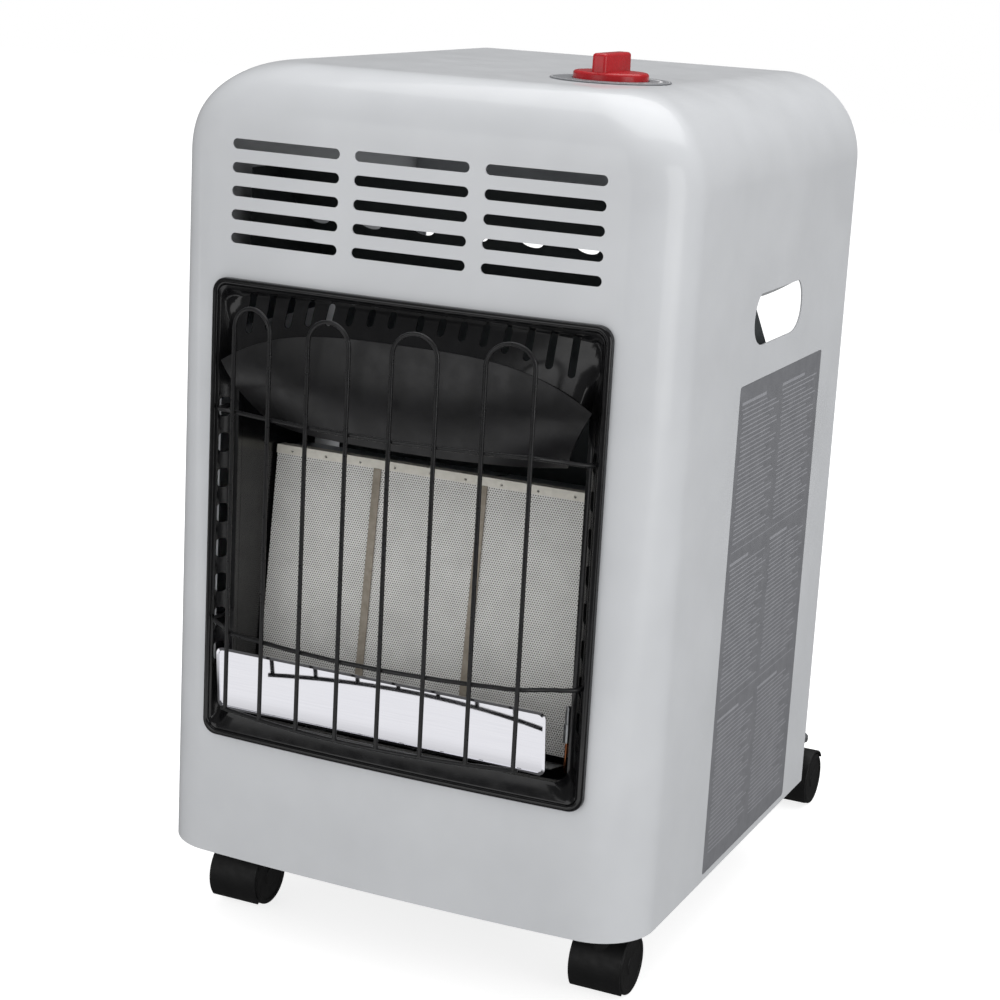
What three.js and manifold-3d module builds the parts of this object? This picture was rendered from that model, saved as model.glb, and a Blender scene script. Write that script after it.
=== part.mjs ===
// Portable gas cabinet heater: a pressed steel cabinet on four twin-wheel castors, with a three-tile
// infrared burner behind a wire guard, and an open bay for a gas cylinder at the back.
// Millimetres, +Z up. x = 0 is the middle of the cabinet, +Y points to the back. While it is built,
// y = 0 is the plane of the cabinet's front corners and z = 0 is the floor.
import * as THREE from 'three';
import { mergeVertices } from 'three/addons/utils/BufferGeometryUtils.js';
import Module from 'manifold-3d';

const wasm = await Module();
wasm.setup();

// ---- driving dimensions -------------------------------------------------------------------------
const GAP = 0.3;                     // between pieces that touch

const CABINET_WIDTH = 430;
const CABINET_DEPTH = 430;
const CABINET_TOP = 720;
const CABINET_BOTTOM = 71;
const SHEET = 1.2;                   // steel sheet of the cabinet and its inner parts
const FRONT_BOW = 8;                 // how far the front swells between its corners
const CORNER_RADIUS = 45;            // upright front corners
const SIDE_CROWN_RADIUS = 72;        // side to top
const FRONT_CROWN_RADIUS = 50;       // front to top
const REAR_FLANGE = 14;
const REAR_OPENING_TOP = 600;        // the back is closed above it

const VENT_LENGTH = 95.5;
const VENT_HEIGHT = 8;
const VENT_COLUMNS = 3;
const VENT_ROWS = 5;
const VENT_COLUMN_PITCH = 108.3;
const VENT_ROW_PITCH = 18.2;
const VENT_TOP_ROW_Z = 658;

const HANDHOLD_FRONT_Y = 178.5;
const HANDHOLD_LENGTH = 122.5;
const HANDHOLD_TOP_Z = 559.5;
const HANDHOLD_HEIGHT = 42.5;
const HANDHOLD_CORNER = 13;          // its top is shorter by this at both ends
const HANDHOLD_LIP = 12;             // sheet folded in along the top of each hand-hold

const BEZEL_WIDTH = 338;
const BEZEL_HEIGHT = 377;
const BEZEL_BOTTOM = 177;
const BEZEL_RADIUS = 12;
const BEZEL_SHEET = 1.2;
const RIM_HEIGHT = 6.2;              // rolled rim, proud of the cabinet front
const RIM_WIDTH = 6.5;
const WINDOW_WIDTH = 300;
const WINDOW_BOTTOM = 198;
const WINDOW_SHOULDER_Z = 486;       // where the window's arched top starts
const WINDOW_RISE = 34;
const ARCH_POWER = 3.3;              // 2 would be a parabola, and more is flatter in the middle
const WINDOW_RADIUS = 5;
const BAND_DEPTH_SIDE = 9;           // how far the window's edge lies behind the cabinet front
const BAND_DEPTH_TOP = -5;
const BAND_TROUGH = 11;              // hollow above the window's arch, where the slots are
const TROUGH_SHARE = 0.15;           // where in the band it is deepest
const BAND_DEPTH_BOTTOM = -3;
const WINDOW_LIP = 6;
const BEZEL_SLOT_WIDTH = 6;
const TOP_SLOTS_PER_SIDE = 8;
const TOP_SLOT_FIRST_X = 12;
const TOP_SLOT_PITCH = 17.9;
const TOP_SLOT_TOP_Z = 543;
const TOP_SLOT_LENGTH = 12;          // in the middle
const TOP_SLOT_GROWTH = 19;          // added at the ends
const SIDE_SLOTS = 8;
const SIDE_SLOT_LENGTH = 16;
const SIDE_SLOT_PITCH = 29;
const SIDE_SLOT_TOP_Z = 450;
const SIDE_SLOT_INSET = 10;

const HOOD_SHEET = 1.2;
const HOOD_OVERLAP = 8;              // past the window on either side
const HOOD_STANDOFF = 2.5;           // in front of the window's arched edge
const HOOD_RISE = 32;
const HOOD_TIP_Z = 489;
const HOOD_BOTTOM_Z = 438;
const HOOD_BULGE = 6;
const HOOD_FOOT_INSET = 21;          // its lower corners, in from the window's sides
const HOOD_FOOT_Y = 14;              // and how far they curl back

const WIRE = 3.5;
const WIRE_SIDES = 6;
const LOOPS = 4;
const LOOP_PITCH = WINDOW_WIDTH * 0.24;
const LOOP_WIDTH = LOOP_PITCH / 2;
const GUARD_STANDOFF = 38;
const GUARD_BOW = 24;
const GUARD_TOP_Z = 540;
const GUARD_BOTTOM_Z = 216;
const UPPER_CROSSBAR_DROP = -7;      // below the slots that the crossbar hooks into
const LOWER_CROSSBAR_DROP = -3;
const LOWER_CROSSBAR_SLOT = 6;
const HOOK_DEPTH = 9;
const WELD_SINK = 0.5;               // how far crossing wires run into each other

const MIRROR_OVERLAP = 6;            // past the window's left edge
const MIRROR_INSET = 14;             // short of its right edge
const MIRROR_LEFT = -WINDOW_WIDTH / 2 - MIRROR_OVERLAP;
const MIRROR_RIGHT = WINDOW_WIDTH / 2 - MIRROR_INSET;
const MIRROR_BOTTOM_Z = 200.5;
const MIRROR_HEIGHT = 53;
const MIRROR_SHEET = 0.8;
const MIRROR_BOTTOM_Y = -6.5;
const MIRROR_LEAN = 5;               // its top leans this far forwards
const MIRROR_RADIUS = 6;
const MIRROR_TAB = 20;

const TILES = ['left', 'centre', 'right'];
const TILE_GAP = 2.5;
const BURNER_CLEARANCE = 2.5;        // between the left-hand tile and its side plate
const PILOT_SPACE = 16.5;            // between the right-hand tile and its side plate, for the pilot
const TILE_PITCH = (WINDOW_WIDTH - PILOT_SPACE - BURNER_CLEARANCE + TILE_GAP) / TILES.length;
const TILE_WIDTH = TILE_PITCH - TILE_GAP;
const BURNER_X = (BURNER_CLEARANCE - PILOT_SPACE) / 2;
const BURNER_Y = 42;
const BURNER_Z = 200;
const BURNER_LEAN = THREE.MathUtils.degToRad(6.3);
const TILE_HEIGHT = 209;
const TILE_THICKNESS = 12;
const DIVIDER_WIDTH = 6.5;
const RETAINER_HEIGHT = 5.5;
const RETAINER_HOLE = 1.2;
const RETAINER_HOLE_PITCH = 31.5;
const PLENUM_DEPTH = 34;
const VENTURI_RADIUS = 12;
const VENTURI_LENGTH = 42;
const MANIFOLD_RADIUS = 7;
const INJECTOR_RADIUS = 4;
const INJECTOR_LENGTH = 12;
const INJECTOR_REACH = 3;            // between the injector's tip and the venturi's mouth

const SIDE_PLATE_DEPTH = 120;
const FLOOR_SHEET = 1;
const FLOOR_INSET = 16;              // stops short of the pilot
const FLOOR_RIGHT = WINDOW_WIDTH / 2 - FLOOR_INSET;
const SHIELD_Y = 268;                // its upright part
const SHIELD_FOLD_Z = 498;           // where it folds forwards at 45 degrees
const SHIELD_TOP_Z = 628;
const SHIELD_INSET = 15;             // clear of the hand-holds' folded lips
const SHIELD_WIDTH = CABINET_WIDTH - 2 * SHIELD_INSET;
const SHIELD_FLANGE = 16;
const SHIELD_HOLES = 8;
const SHIELD_HOLE_RADIUS = 11.5;
const SHIELD_HOLE_PITCH = 50;
const SHIELD_HOLE_X = -9;            // the middle of their row
const SHIELD_HOLE_Z = 583;

const TRAY_TOP_Z = 73.2;
const TRAY_RIM = 21;
const TRAY_REAR_Y = 587;             // it runs out behind the cabinet, under the cylinder
const TRAY_REAR_INSET = 37;
const TRAY_REAR_HALF_WIDTH = CABINET_WIDTH / 2 - TRAY_REAR_INSET;
const TRAY_REAR_RADIUS = 30;
const TRAY_CLEARANCE = 0.5;
const RING_RADIUS = 112;             // raised ring that locates the cylinder's foot
const RING_WIDTH = 5;
const RING_HEIGHT = 4;
const RING_Y = 430;

const KNOB_INSET = 115;              // from the cabinet's side to the knob's middle
const KNOB_X = CABINET_WIDTH / 2 - KNOB_INSET;
const KNOB_Y = 128;
const DIAL_RADIUS = 47;
const DIAL_THICKNESS = 0.8;
const DIAL_OVERLAP = 5;              // on the edge of the hole in the cabinet's top that it covers
const KNOB_RADIUS = 29.3;
const KNOB_BASE = 7.2;
const GRIP_WIDTH = 12.5;
const GRIP_HEIGHT = 14.3;
const KNOB_TRAVEL = 5;
const KNOB_CLEARANCE = 1;            // between the knob and the dial's inner edge
const KNOB_SINK = 1.4;               // how far the knob reaches below the dial's face
const STEM_RADIUS = 4;
const RUNNING = 0.3;                 // radial clearance of moving pieces
const VALVE_WIDTH = 50;
const VALVE_DEPTH = 40;
const VALVE_HEIGHT = 34;
const VALVE_BOTTOM_Z = 655;
const NECK_RADIUS = 7;
const SHOULDER_RADIUS = 11;
const BRACKET_Z = 704;
const BRACKET_WIDTH = 46;
const BRACKET_DEPTH = 2 * (DIAL_RADIUS - DIAL_OVERLAP + 3);
const BRACKET_FOOT = 10;
const NUT_RADIUS = 12;
const NUT_HEIGHT = 4.5;
const INLET_LENGTH = 36;
const INLET_RADIUS = 5;

const FEED_RADIUS = 5;
const FEED_INSET = 38;               // from the window's edge to the burner's feed pipe
const FEED_X = WINDOW_WIDTH / 2 - FEED_INSET;
const FEED_BEND = 18;
const LINE_INSET = 29.5;             // from the window's edge to where the pilot's lines enter the valve
const LINE_X = WINDOW_WIDTH / 2 - LINE_INSET;
const LINE_SHIFT_DROP = 32;          // where they move across, below the valve
const LINE_BEND = 8;
const PILOT_PIPE_DROP = 18;
const LEAD_DROP = 27;
const FEED_Y = 120;
const PILOT_INSET = 7.7;
const PILOT_X = WINDOW_WIDTH / 2 - PILOT_INSET;
const PILOT_PIPE_RADIUS = 2;
const LEAD_RADIUS = 1.2;
const PILOT_Y = 28;
const PILOT_Z = 222;
const PILOT_RADIUS = 4.5;
const PILOT_HEIGHT = 22;
const PROBE_Y = 19;
const PROBE_RADIUS = 2;
const PROBE_HEIGHT = 30;
const ELECTRODE_Y = 37;
const ELECTRODE_RADIUS = 2.4;
const ELECTRODE_HEIGHT = 24;
const SPARK_WIRE_RADIUS = 0.8;

const SWITCH_INSET = 47;
const SWITCH_X = -CABINET_WIDTH / 2 + SWITCH_INSET;
const SWITCH_Y = 215;
const SWITCH_SIZE = [26, 40, 30];

const LABEL_FRONT_Y = 157;
const LABEL_LENGTH = 214;
const LABEL_BOTTOM_Z = 77;
const LABEL_HEIGHT = 412;
const LABEL_POCKET = 0.6;            // depth of the pocket it lies in

const CASTOR_INSET = 47;             // from the cabinet's side to the castor's middle
const CASTOR_X = CABINET_WIDTH / 2 - CASTOR_INSET;
const CASTOR_FRONT_Y = 57;
const CASTOR_REAR_Y = 545;
const CASTOR_TRAIL = 15;
const WHEEL_RADIUS = 25;
const WHEEL_WIDTH = 14;
const CASTOR_WIDTH = 45;
const SPINE_WIDTH = 16;
const FENDER_GAP = 1.6;
const FENDER_THICKNESS = 2;
const AXLE_RADIUS = 3;
const PIVOT_RADIUS = 5;
const BOSS_RADIUS = 9;
const BOSS_TOP_Z = 65;
const PIVOT_FLANGE_RADIUS = 17;
const PIVOT_FLANGE = 4;
const PIVOT_CLEARANCE = 12;          // above the axle
const FENDER_BEHIND = THREE.MathUtils.degToRad(38);
const FENDER_AHEAD = THREE.MathUtils.degToRad(222);

// ---- finishes -----------------------------------------------------------------------------------
const finish = (color, roughness, metalness) => new THREE.MeshStandardMaterial(
  { color, roughness, metalness });
const WHITE_ENAMEL = finish(0xd9dbdd, 0.35, 0);
const BLACK_ENAMEL = finish(0x141416, 0.22, 0);
const BLACK_WIRE = finish(0x1a1a1c, 0.4, 0);
const MIRROR_STEEL = finish(0xd8dade, 0.08, 1);
const SATIN_STEEL = finish(0x9c9fa3, 0.4, 1);
const DARK_STEEL = finish(0x4a4e50, 0.5, 0.6);
const CERAMIC = finish(0xd9d3c6, 0.9, 0);
const FIBRE = finish(0x8c8172, 0.9, 0);
const BRASS = finish(0xb8924a, 0.35, 1);
const COPPER = finish(0xb5744e, 0.35, 1);
const RED_PLASTIC = finish(0xc8242b, 0.35, 0);
const GREY_PRINT = finish(0x7b7c80, 0.5, 0);
const BLACK_PLASTIC = finish(0x1c1c1e, 0.5, 0);

// ---- shape helpers ------------------------------------------------------------------------------
const cabinet = new THREE.Group();

function solid(geometry) {
  const bare = geometry.clone();
  bare.deleteAttribute('normal');
  bare.deleteAttribute('uv');
  const merged = mergeVertices(bare, 1e-4);
  const triVerts = Uint32Array.from(merged.index.array);
  const vertProperties = Float32Array.from(merged.attributes.position.array);
  return new wasm.Manifold(new wasm.Mesh({ numProp: 3, vertProperties, triVerts }));
}

function geometryOf(body) {
  const { vertProperties, triVerts } = body.getMesh();
  const geometry = new THREE.BufferGeometry();
  geometry.setAttribute('position', new THREE.BufferAttribute(vertProperties, 3));
  geometry.setIndex(new THREE.BufferAttribute(triVerts, 1));
  geometry.computeVertexNormals();
  return geometry;
}

function addPart(name, shape, material, parent = cabinet) {
  const geometry = shape.isBufferGeometry ? shape : geometryOf(shape);
  const mesh = new THREE.Mesh(geometry, material);
  mesh.name = name;
  parent.add(mesh);
  return mesh;
}

const joined = (bodies) => bodies.reduce((sum, body) => sum.add(body));
const less = (body, cuts) => cuts.reduce((rest, cut) => rest.subtract(cut), body);

function block([x0, x1], [y0, y1], [z0, z1]) {
  const box = new THREE.BoxGeometry(x1 - x0, y1 - y0, z1 - z0);
  return solid(box.translate((x0 + x1) / 2, (y0 + y1) / 2, (z0 + z1) / 2));
}

// A prism along +Z, +Y or +X. Its outline is drawn in (x, y), (x, z) or (y, z).
function prism(outline, axis, [from, to], segments = 6) {
  const geometry = new THREE.ExtrudeGeometry(outline, {
    depth: to - from, bevelEnabled: false, curveSegments: segments,
  });
  geometry.translate(0, 0, from);
  const [x, y, z] = [[1, 0, 0], [0, 1, 0], [0, 0, 1]].map((v) => new THREE.Vector3(...v));
  if (axis === 'x') geometry.applyMatrix4(new THREE.Matrix4().makeBasis(y, z, x));
  if (axis === 'y') {
    geometry.rotateX(Math.PI / 2);
    geometry.translate(0, from + to, 0);
  }
  return solid(geometry);
}

// A body of revolution about the upright line at (x, y), from [radius, z] corners.
function turned(corners, x = 0, y = 0, segments = 24) {
  const profile = corners.map(([radius, z]) => new THREE.Vector2(radius, z));
  const lathe = new THREE.LatheGeometry(profile, segments);
  lathe.rotateX(Math.PI / 2);
  return solid(lathe.translate(x, y, 0));
}

const rod = (radius, [z0, z1], x, y, segments) => turned(
  [[0, z0], [radius, z0], [radius, z1], [0, z1]], x, y, segments);

function roundedRectangle(left, bottom, width, height, radius) {
  const shape = new THREE.Shape();
  const [right, top] = [left + width, bottom + height];
  shape.moveTo(left + radius, bottom);
  shape.lineTo(right - radius, bottom);
  shape.absarc(right - radius, bottom + radius, radius, -Math.PI / 2, 0);
  shape.lineTo(right, top - radius);
  shape.absarc(right - radius, top - radius, radius, 0, Math.PI / 2);
  shape.lineTo(left + radius, top);
  shape.absarc(left + radius, top - radius, radius, Math.PI / 2, Math.PI);
  shape.lineTo(left, bottom + radius);
  shape.absarc(left + radius, bottom + radius, radius, Math.PI, Math.PI * 1.5);
  return shape;
}

// A slot with round ends, centred on (x, z): as long as `length` along its longer side.
function slotOutline(x, z, length, width, upright) {
  const [w, h] = upright ? [width, length] : [length, width];
  return roundedRectangle(x - w / 2, z - h / 2, w, h, width / 2 - 0.01);
}

// The points of a route with straight runs and rounded bends.
function route(points, bend) {
  const corners = points.map((p) => new THREE.Vector3(...p));
  const path = new THREE.CurvePath();
  let start = corners[0];
  for (let i = 1; i < corners.length - 1; i += 1) {
    const corner = corners[i];
    const into = corner.clone().sub(corners[i - 1]).normalize();
    const out = corners[i + 1].clone().sub(corner).normalize();
    const before = corner.clone().addScaledVector(into, -bend);
    const after = corner.clone().addScaledVector(out, bend);
    path.add(new THREE.LineCurve3(start, before));
    path.add(new THREE.QuadraticBezierCurve3(before, corner, after));
    start = after;
  }
  path.add(new THREE.LineCurve3(start, corners[corners.length - 1]));
  return path.getPoints(5);
}

// A round bar along a line of points, which carries its section round each bend without a twist.
function tube(points, radius, sides) {
  const ahead = points.map((p, i) => points[Math.min(i + 1, points.length - 1)].clone()
    .sub(points[Math.max(i - 1, 0)]).normalize());
  const across = new THREE.Vector3(1, 0, 0).cross(ahead[0]);
  if (across.lengthSq() < 0.1) across.set(0, 1, 0).cross(ahead[0]);
  across.normalize();
  return skin(points.map((p, i) => {
    if (i > 0) across.applyQuaternion(new THREE.Quaternion().setFromUnitVectors(ahead[i - 1], ahead[i]));
    const beside = ahead[i].clone().cross(across);
    return Array.from({ length: sides }, (_, k) => {
      const turn = (k / sides) * Math.PI * 2;
      return p.clone().addScaledVector(across, radius * Math.cos(turn))
        .addScaledVector(beside, radius * Math.sin(turn)).toArray();
    });
  }), true);
}

// A closed skin over rings of points. Each ring has as many points as the next. `capped` closes the
// first and the last ring with a strip that runs across it, and otherwise the last ring joins the first.
function skin(rings, capped) {
  const count = rings[0].length;
  const positions = rings.flat(2);
  const index = [];
  const spans = capped ? rings.length - 1 : rings.length;
  for (let r = 0; r < spans; r += 1) {
    const low = r * count;
    const high = ((r + 1) % rings.length) * count;
    for (let i = 0; i < count; i += 1) {
      const j = (i + 1) % count;
      index.push(low + i, low + j, high + j, low + i, high + j, high + i);
    }
  }
  if (capped) {
    const last = (rings.length - 1) * count;
    for (let i = 0; i < count - 2; i += 1) {
      const [near, far] = [Math.ceil(i / 2), count - 1 - Math.floor(i / 2)];
      const between = i % 2 === 0 ? near + 1 : far - 1;
      index.push(near, far, between);
      index.push(last + near, last + between, last + far);
    }
  }
  const geometry = new THREE.BufferGeometry();
  geometry.setAttribute('position', new THREE.Float32BufferAttribute(positions, 3));
  geometry.setIndex(index);
  return solid(geometry);
}

// ---- cabinet shell ------------------------------------------------------------------------------
const HALF_WIDTH = CABINET_WIDTH / 2;
const bow = (x) => FRONT_BOW * (1 - (x / HALF_WIDTH) ** 2);
const frontY = (x) => -bow(x);

// The cabinet's plan outline, drawn in by `side` and `front`, anticlockwise from the back left.
function planOutline(side, front, radius, backY) {
  const half = HALF_WIDTH - side;
  const points = [[-half, backY]];
  const cornerSteps = 5;
  const frontSteps = 8;
  const put = (x, y) => points.push([x, y + frontY(x)]);
  for (let i = 0; i <= cornerSteps; i += 1) {
    const turn = (i / cornerSteps) * (Math.PI / 2);
    put(-half + radius * (1 - Math.cos(turn)), front + radius * (1 - Math.sin(turn)));
  }
  for (let i = 1; i < frontSteps; i += 1) {
    put((half - radius) * (2 * i / frontSteps - 1), front);
  }
  for (let i = 0; i <= cornerSteps; i += 1) {
    const turn = (i / cornerSteps) * (Math.PI / 2);
    put(half - radius * (1 - Math.sin(turn)), front + radius * (1 - Math.cos(turn)));
  }
  points.push([half, backY]);
  return points;
}

// The cabinet's outer form drawn in by `inset` all round, from `bottomZ` up to its crowned top.
function cabinetForm(inset, backY, bottomZ) {
  const crownSteps = 7;
  const topZ = CABINET_TOP - inset;
  const [sideCrown, frontCrown] = [SIDE_CROWN_RADIUS - inset, FRONT_CROWN_RADIUS - inset];
  const drawnIn = (crown, z) => {
    const rise = Math.max(0, z - (topZ - crown));
    return inset + crown - Math.sqrt(Math.max(0, crown * crown - rise * rise));
  };
  const levels = [bottomZ];
  for (let i = 0; i <= crownSteps; i += 1) {
    levels.push(topZ - sideCrown + sideCrown * Math.sin((i / crownSteps) * (Math.PI / 2)));
  }
  const corner = CORNER_RADIUS - inset;
  const planAt = (z) => planOutline(drawnIn(sideCrown, z), drawnIn(frontCrown, z), corner, backY);
  return skin(levels.map((z) => planAt(z).map(([x, y]) => [x, y, z])), true);
}

function handholdOutline() {
  const [y0, y1] = [HANDHOLD_FRONT_Y, HANDHOLD_FRONT_Y + HANDHOLD_LENGTH];
  const [topZ, lowZ] = [HANDHOLD_TOP_Z, HANDHOLD_TOP_Z - HANDHOLD_HEIGHT];
  const [corner, waist, low] = [HANDHOLD_CORNER, HANDHOLD_HEIGHT / 2, 2 * HANDHOLD_CORNER];
  const shape = new THREE.Shape();
  shape.moveTo(y0 + corner, topZ);
  shape.bezierCurveTo(y0 + corner / 3, topZ - corner / 4, y0, topZ - corner, y0, topZ - waist);
  shape.bezierCurveTo(y0, lowZ + corner / 2, y0 + corner, lowZ, y0 + low, lowZ);
  shape.lineTo(y1 - low, lowZ);
  shape.bezierCurveTo(y1 - corner, lowZ, y1, lowZ + corner / 2, y1, topZ - waist);
  shape.bezierCurveTo(y1, topZ - corner, y1 - corner / 3, topZ - corner / 4, y1 - corner, topZ);
  shape.closePath();
  return shape;
}

function handholdLip(side) {
  const outer = side * (HALF_WIDTH - SHEET / 2);
  const fold = new THREE.Shape();
  const inward = -side;
  fold.moveTo(outer, HANDHOLD_TOP_Z);
  fold.lineTo(outer, HANDHOLD_TOP_Z + SHEET);
  fold.lineTo(outer + inward * HANDHOLD_LIP, HANDHOLD_TOP_Z + SHEET - HANDHOLD_LIP / 2);
  fold.lineTo(outer + inward * HANDHOLD_LIP, HANDHOLD_TOP_Z - HANDHOLD_LIP / 2);
  fold.closePath();
  const end = HANDHOLD_CORNER + SHEET;
  return prism(fold, 'y', [HANDHOLD_FRONT_Y + end, HANDHOLD_FRONT_Y + HANDHOLD_LENGTH - end]);
}

const SHELL_CUTOUT_INSET = RIM_WIDTH + 0.5;
const BEZEL_LEFT = -BEZEL_WIDTH / 2;

function cabinetShell() {
  const wall = HALF_WIDTH + SHEET;
  const aboveOpening = block([-wall, wall], [0, CABINET_DEPTH + 2 * SHEET], [REAR_OPENING_TOP, CABINET_TOP]);
  const cuts = [
    cabinetForm(SHEET, CABINET_DEPTH - SHEET, CABINET_BOTTOM - SHEET),
    cabinetForm(REAR_FLANGE, CABINET_DEPTH + SHEET, CABINET_BOTTOM - SHEET).subtract(aboveOpening),
  ];
  for (let row = 0; row < VENT_ROWS; row += 1) {
    for (let column = 0; column < VENT_COLUMNS; column += 1) {
      const x = (column - (VENT_COLUMNS - 1) / 2) * VENT_COLUMN_PITCH;
      const outline = slotOutline(x, VENT_TOP_ROW_Z - row * VENT_ROW_PITCH, VENT_LENGTH, VENT_HEIGHT, false);
      cuts.push(prism(outline, 'y', [-FRONT_BOW - SHEET, FRONT_CROWN_RADIUS], 2));
    }
  }
  cuts.push(prism(roundedRectangle(BEZEL_LEFT + SHELL_CUTOUT_INSET, BEZEL_BOTTOM + SHELL_CUTOUT_INSET,
    BEZEL_WIDTH - 2 * SHELL_CUTOUT_INSET, BEZEL_HEIGHT - 2 * SHELL_CUTOUT_INSET,
    BEZEL_RADIUS - SHELL_CUTOUT_INSET / 2), 'y', [-FRONT_BOW - SHEET, FRONT_CROWN_RADIUS], 4));
  cuts.push(prism(handholdOutline(), 'x', [-wall, wall], 5));
  cuts.push(rod(DIAL_RADIUS - DIAL_OVERLAP, [CABINET_TOP - 2 * SHEET, CABINET_TOP + SHEET], KNOB_X, KNOB_Y));
  cuts.push(block([HALF_WIDTH - LABEL_POCKET, HALF_WIDTH + SHEET], [LABEL_FRONT_Y - GAP,
    LABEL_FRONT_Y + LABEL_LENGTH + GAP], [LABEL_BOTTOM_Z - GAP, LABEL_BOTTOM_Z + LABEL_HEIGHT + GAP]));
  const outer = cabinetForm(0, CABINET_DEPTH, CABINET_BOTTOM);
  return joined([less(outer, cuts), handholdLip(-1), handholdLip(1)]);
}

addPart('cabinet_shell', cabinetShell(), WHITE_ENAMEL);

// ---- bezel --------------------------------------------------------------------------------------
const WINDOW_LEFT = -WINDOW_WIDTH / 2;
const ARCH_HALF = WINDOW_WIDTH / 2 - WINDOW_RADIUS;

const archRise = (x, half, rise) => rise * (1 - Math.abs(x / half) ** ARCH_POWER);

function windowTop(x) {
  const past = Math.abs(x) - ARCH_HALF;
  if (past <= 0) return WINDOW_SHOULDER_Z + archRise(x, ARCH_HALF, WINDOW_RISE);
  return WINDOW_SHOULDER_Z - WINDOW_RADIUS + Math.sqrt(Math.max(0, WINDOW_RADIUS ** 2 - past ** 2));
}

// A rounded rectangle as a ring of [x, z, depth weights], anticlockwise from its bottom left corner.
function frameRing(left, right, bottom, top, radius, rise) {
  const ring = [];
  const steps = { bottom: 6, side: 3, top: 12, corner: 2 };
  const corner = (cx, cz, start, from, to) => {
    for (let i = 0; i <= steps.corner; i += 1) {
      const share = i / steps.corner;
      const turn = start + share * (Math.PI / 2);
      const mix = from.map((weight, k) => weight + (to[k] - weight) * share);
      ring.push([cx + radius * Math.cos(turn), cz + radius * Math.sin(turn), mix]);
    }
  };
  const [BOTTOM, SIDE, TOP] = [[1, 0, 0], [0, 1, 0], [0, 0, 1]];
  const [x0, x1, z0, z1] = [left + radius, right - radius, bottom + radius, top - radius];
  const along = (count, a, b, put) => {
    for (let i = 1; i < count; i += 1) put(a + (b - a) * (i / count));
  };
  corner(x0, z0, Math.PI, SIDE, BOTTOM);
  along(steps.bottom, x0, x1, (x) => ring.push([x, bottom, BOTTOM]));
  corner(x1, z0, -Math.PI / 2, BOTTOM, SIDE);
  along(steps.side, z0, z1, (z) => ring.push([right, z, SIDE]));
  corner(x1, z1, 0, SIDE, TOP);
  const middle = (left + right) / 2;
  along(steps.top, x1, x0, (x) => ring.push([x, top + archRise(x - middle, (x1 - x0) / 2, rise), TOP]));
  corner(x0, z1, Math.PI / 2, TOP, SIDE);
  along(steps.side, z1, z0, (z) => ring.push([left, z, SIDE]));
  return ring;
}

function frontBezel() {
  const outerRing = (inset) => frameRing(BEZEL_LEFT + inset, -BEZEL_LEFT - inset, BEZEL_BOTTOM + inset,
    BEZEL_BOTTOM + BEZEL_HEIGHT - inset, BEZEL_RADIUS - inset / 2, 0);
  const windowRing = (outset) => frameRing(WINDOW_LEFT - outset, -WINDOW_LEFT + outset,
    WINDOW_BOTTOM - outset, WINDOW_SHOULDER_Z + outset, WINDOW_RADIUS + outset, WINDOW_RISE);
  const depths = [BAND_DEPTH_BOTTOM, BAND_DEPTH_SIDE, BAND_DEPTH_TOP];
  const windowHeight = (weights) => -depths.reduce((sum, depth, k) => sum + depth * weights[k], 0);
  const bandStart = RIM_HEIGHT - 1.6;
  const atHeight = (ring, height) => ring.map(([x, z, weights]) => [x, frontY(x) - height(weights), z]);
  const band = (share, thickness) => {
    const inner = windowRing(0);
    const eased = 1 - (1 - share) ** 2;
    const ring = outerRing(RIM_WIDTH).map(([x, z, weights], i) => [
      x + (inner[i][0] - x) * share, z + (inner[i][1] - z) * share, weights]);
    const fall = share < TROUGH_SHARE ? share / TROUGH_SHARE : (1 - share) / (1 - TROUGH_SHARE);
    return atHeight(ring, (w) => bandStart + (windowHeight(w) - bandStart) * eased - thickness
      - BAND_TROUGH * w[2] * fall);
  };
  const rim = (inset, height) => atHeight(outerRing(inset), () => height);
  const lip = (outset, depth) => atHeight(windowRing(outset), (w) => windowHeight(w) - depth);
  const t = BEZEL_SHEET;
  const rings = [
    rim(0, GAP), rim(0, RIM_HEIGHT - 1.8), rim(1.6, RIM_HEIGHT), rim(RIM_WIDTH - 2.2, RIM_HEIGHT),
    band(0, 0), band(TROUGH_SHARE, 0), band(0.6, 0), band(1, 0),
    lip(0, WINDOW_LIP), lip(t, WINDOW_LIP), lip(t, t),
    band(0.6, t), band(TROUGH_SHARE, t), band(0, t),
    rim(RIM_WIDTH - 2.4, RIM_HEIGHT - t), rim(2.2, RIM_HEIGHT - t), rim(t, RIM_HEIGHT - 2.2), rim(t, GAP),
  ];
  const through = [-FRONT_BOW - 2 * RIM_HEIGHT, 2 * BAND_DEPTH_SIDE + WINDOW_LIP];
  const cuts = [];
  const outermost = TOP_SLOT_FIRST_X + (TOP_SLOTS_PER_SIDE - 1) * TOP_SLOT_PITCH;
  for (const side of [-1, 1]) {
    for (let i = 0; i < TOP_SLOTS_PER_SIDE; i += 1) {
      const x = side * (TOP_SLOT_FIRST_X + i * TOP_SLOT_PITCH);
      const length = TOP_SLOT_LENGTH + TOP_SLOT_GROWTH * (x / outermost) ** 2;
      const outline = slotOutline(x, TOP_SLOT_TOP_Z - length / 2, length, BEZEL_SLOT_WIDTH, true);
      cuts.push(prism(outline, 'y', through, 2));
    }
    for (let i = 0; i < SIDE_SLOTS; i += 1) {
      const x = side * (BEZEL_WIDTH / 2 - SIDE_SLOT_INSET);
      const z = SIDE_SLOT_TOP_Z - i * SIDE_SLOT_PITCH;
      cuts.push(prism(slotOutline(x, z, SIDE_SLOT_LENGTH, BEZEL_SLOT_WIDTH, true), 'y', through, 2));
    }
  }
  return less(skin(rings, false), cuts);
}

addPart('front_bezel', frontBezel(), BLACK_ENAMEL);

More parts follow.
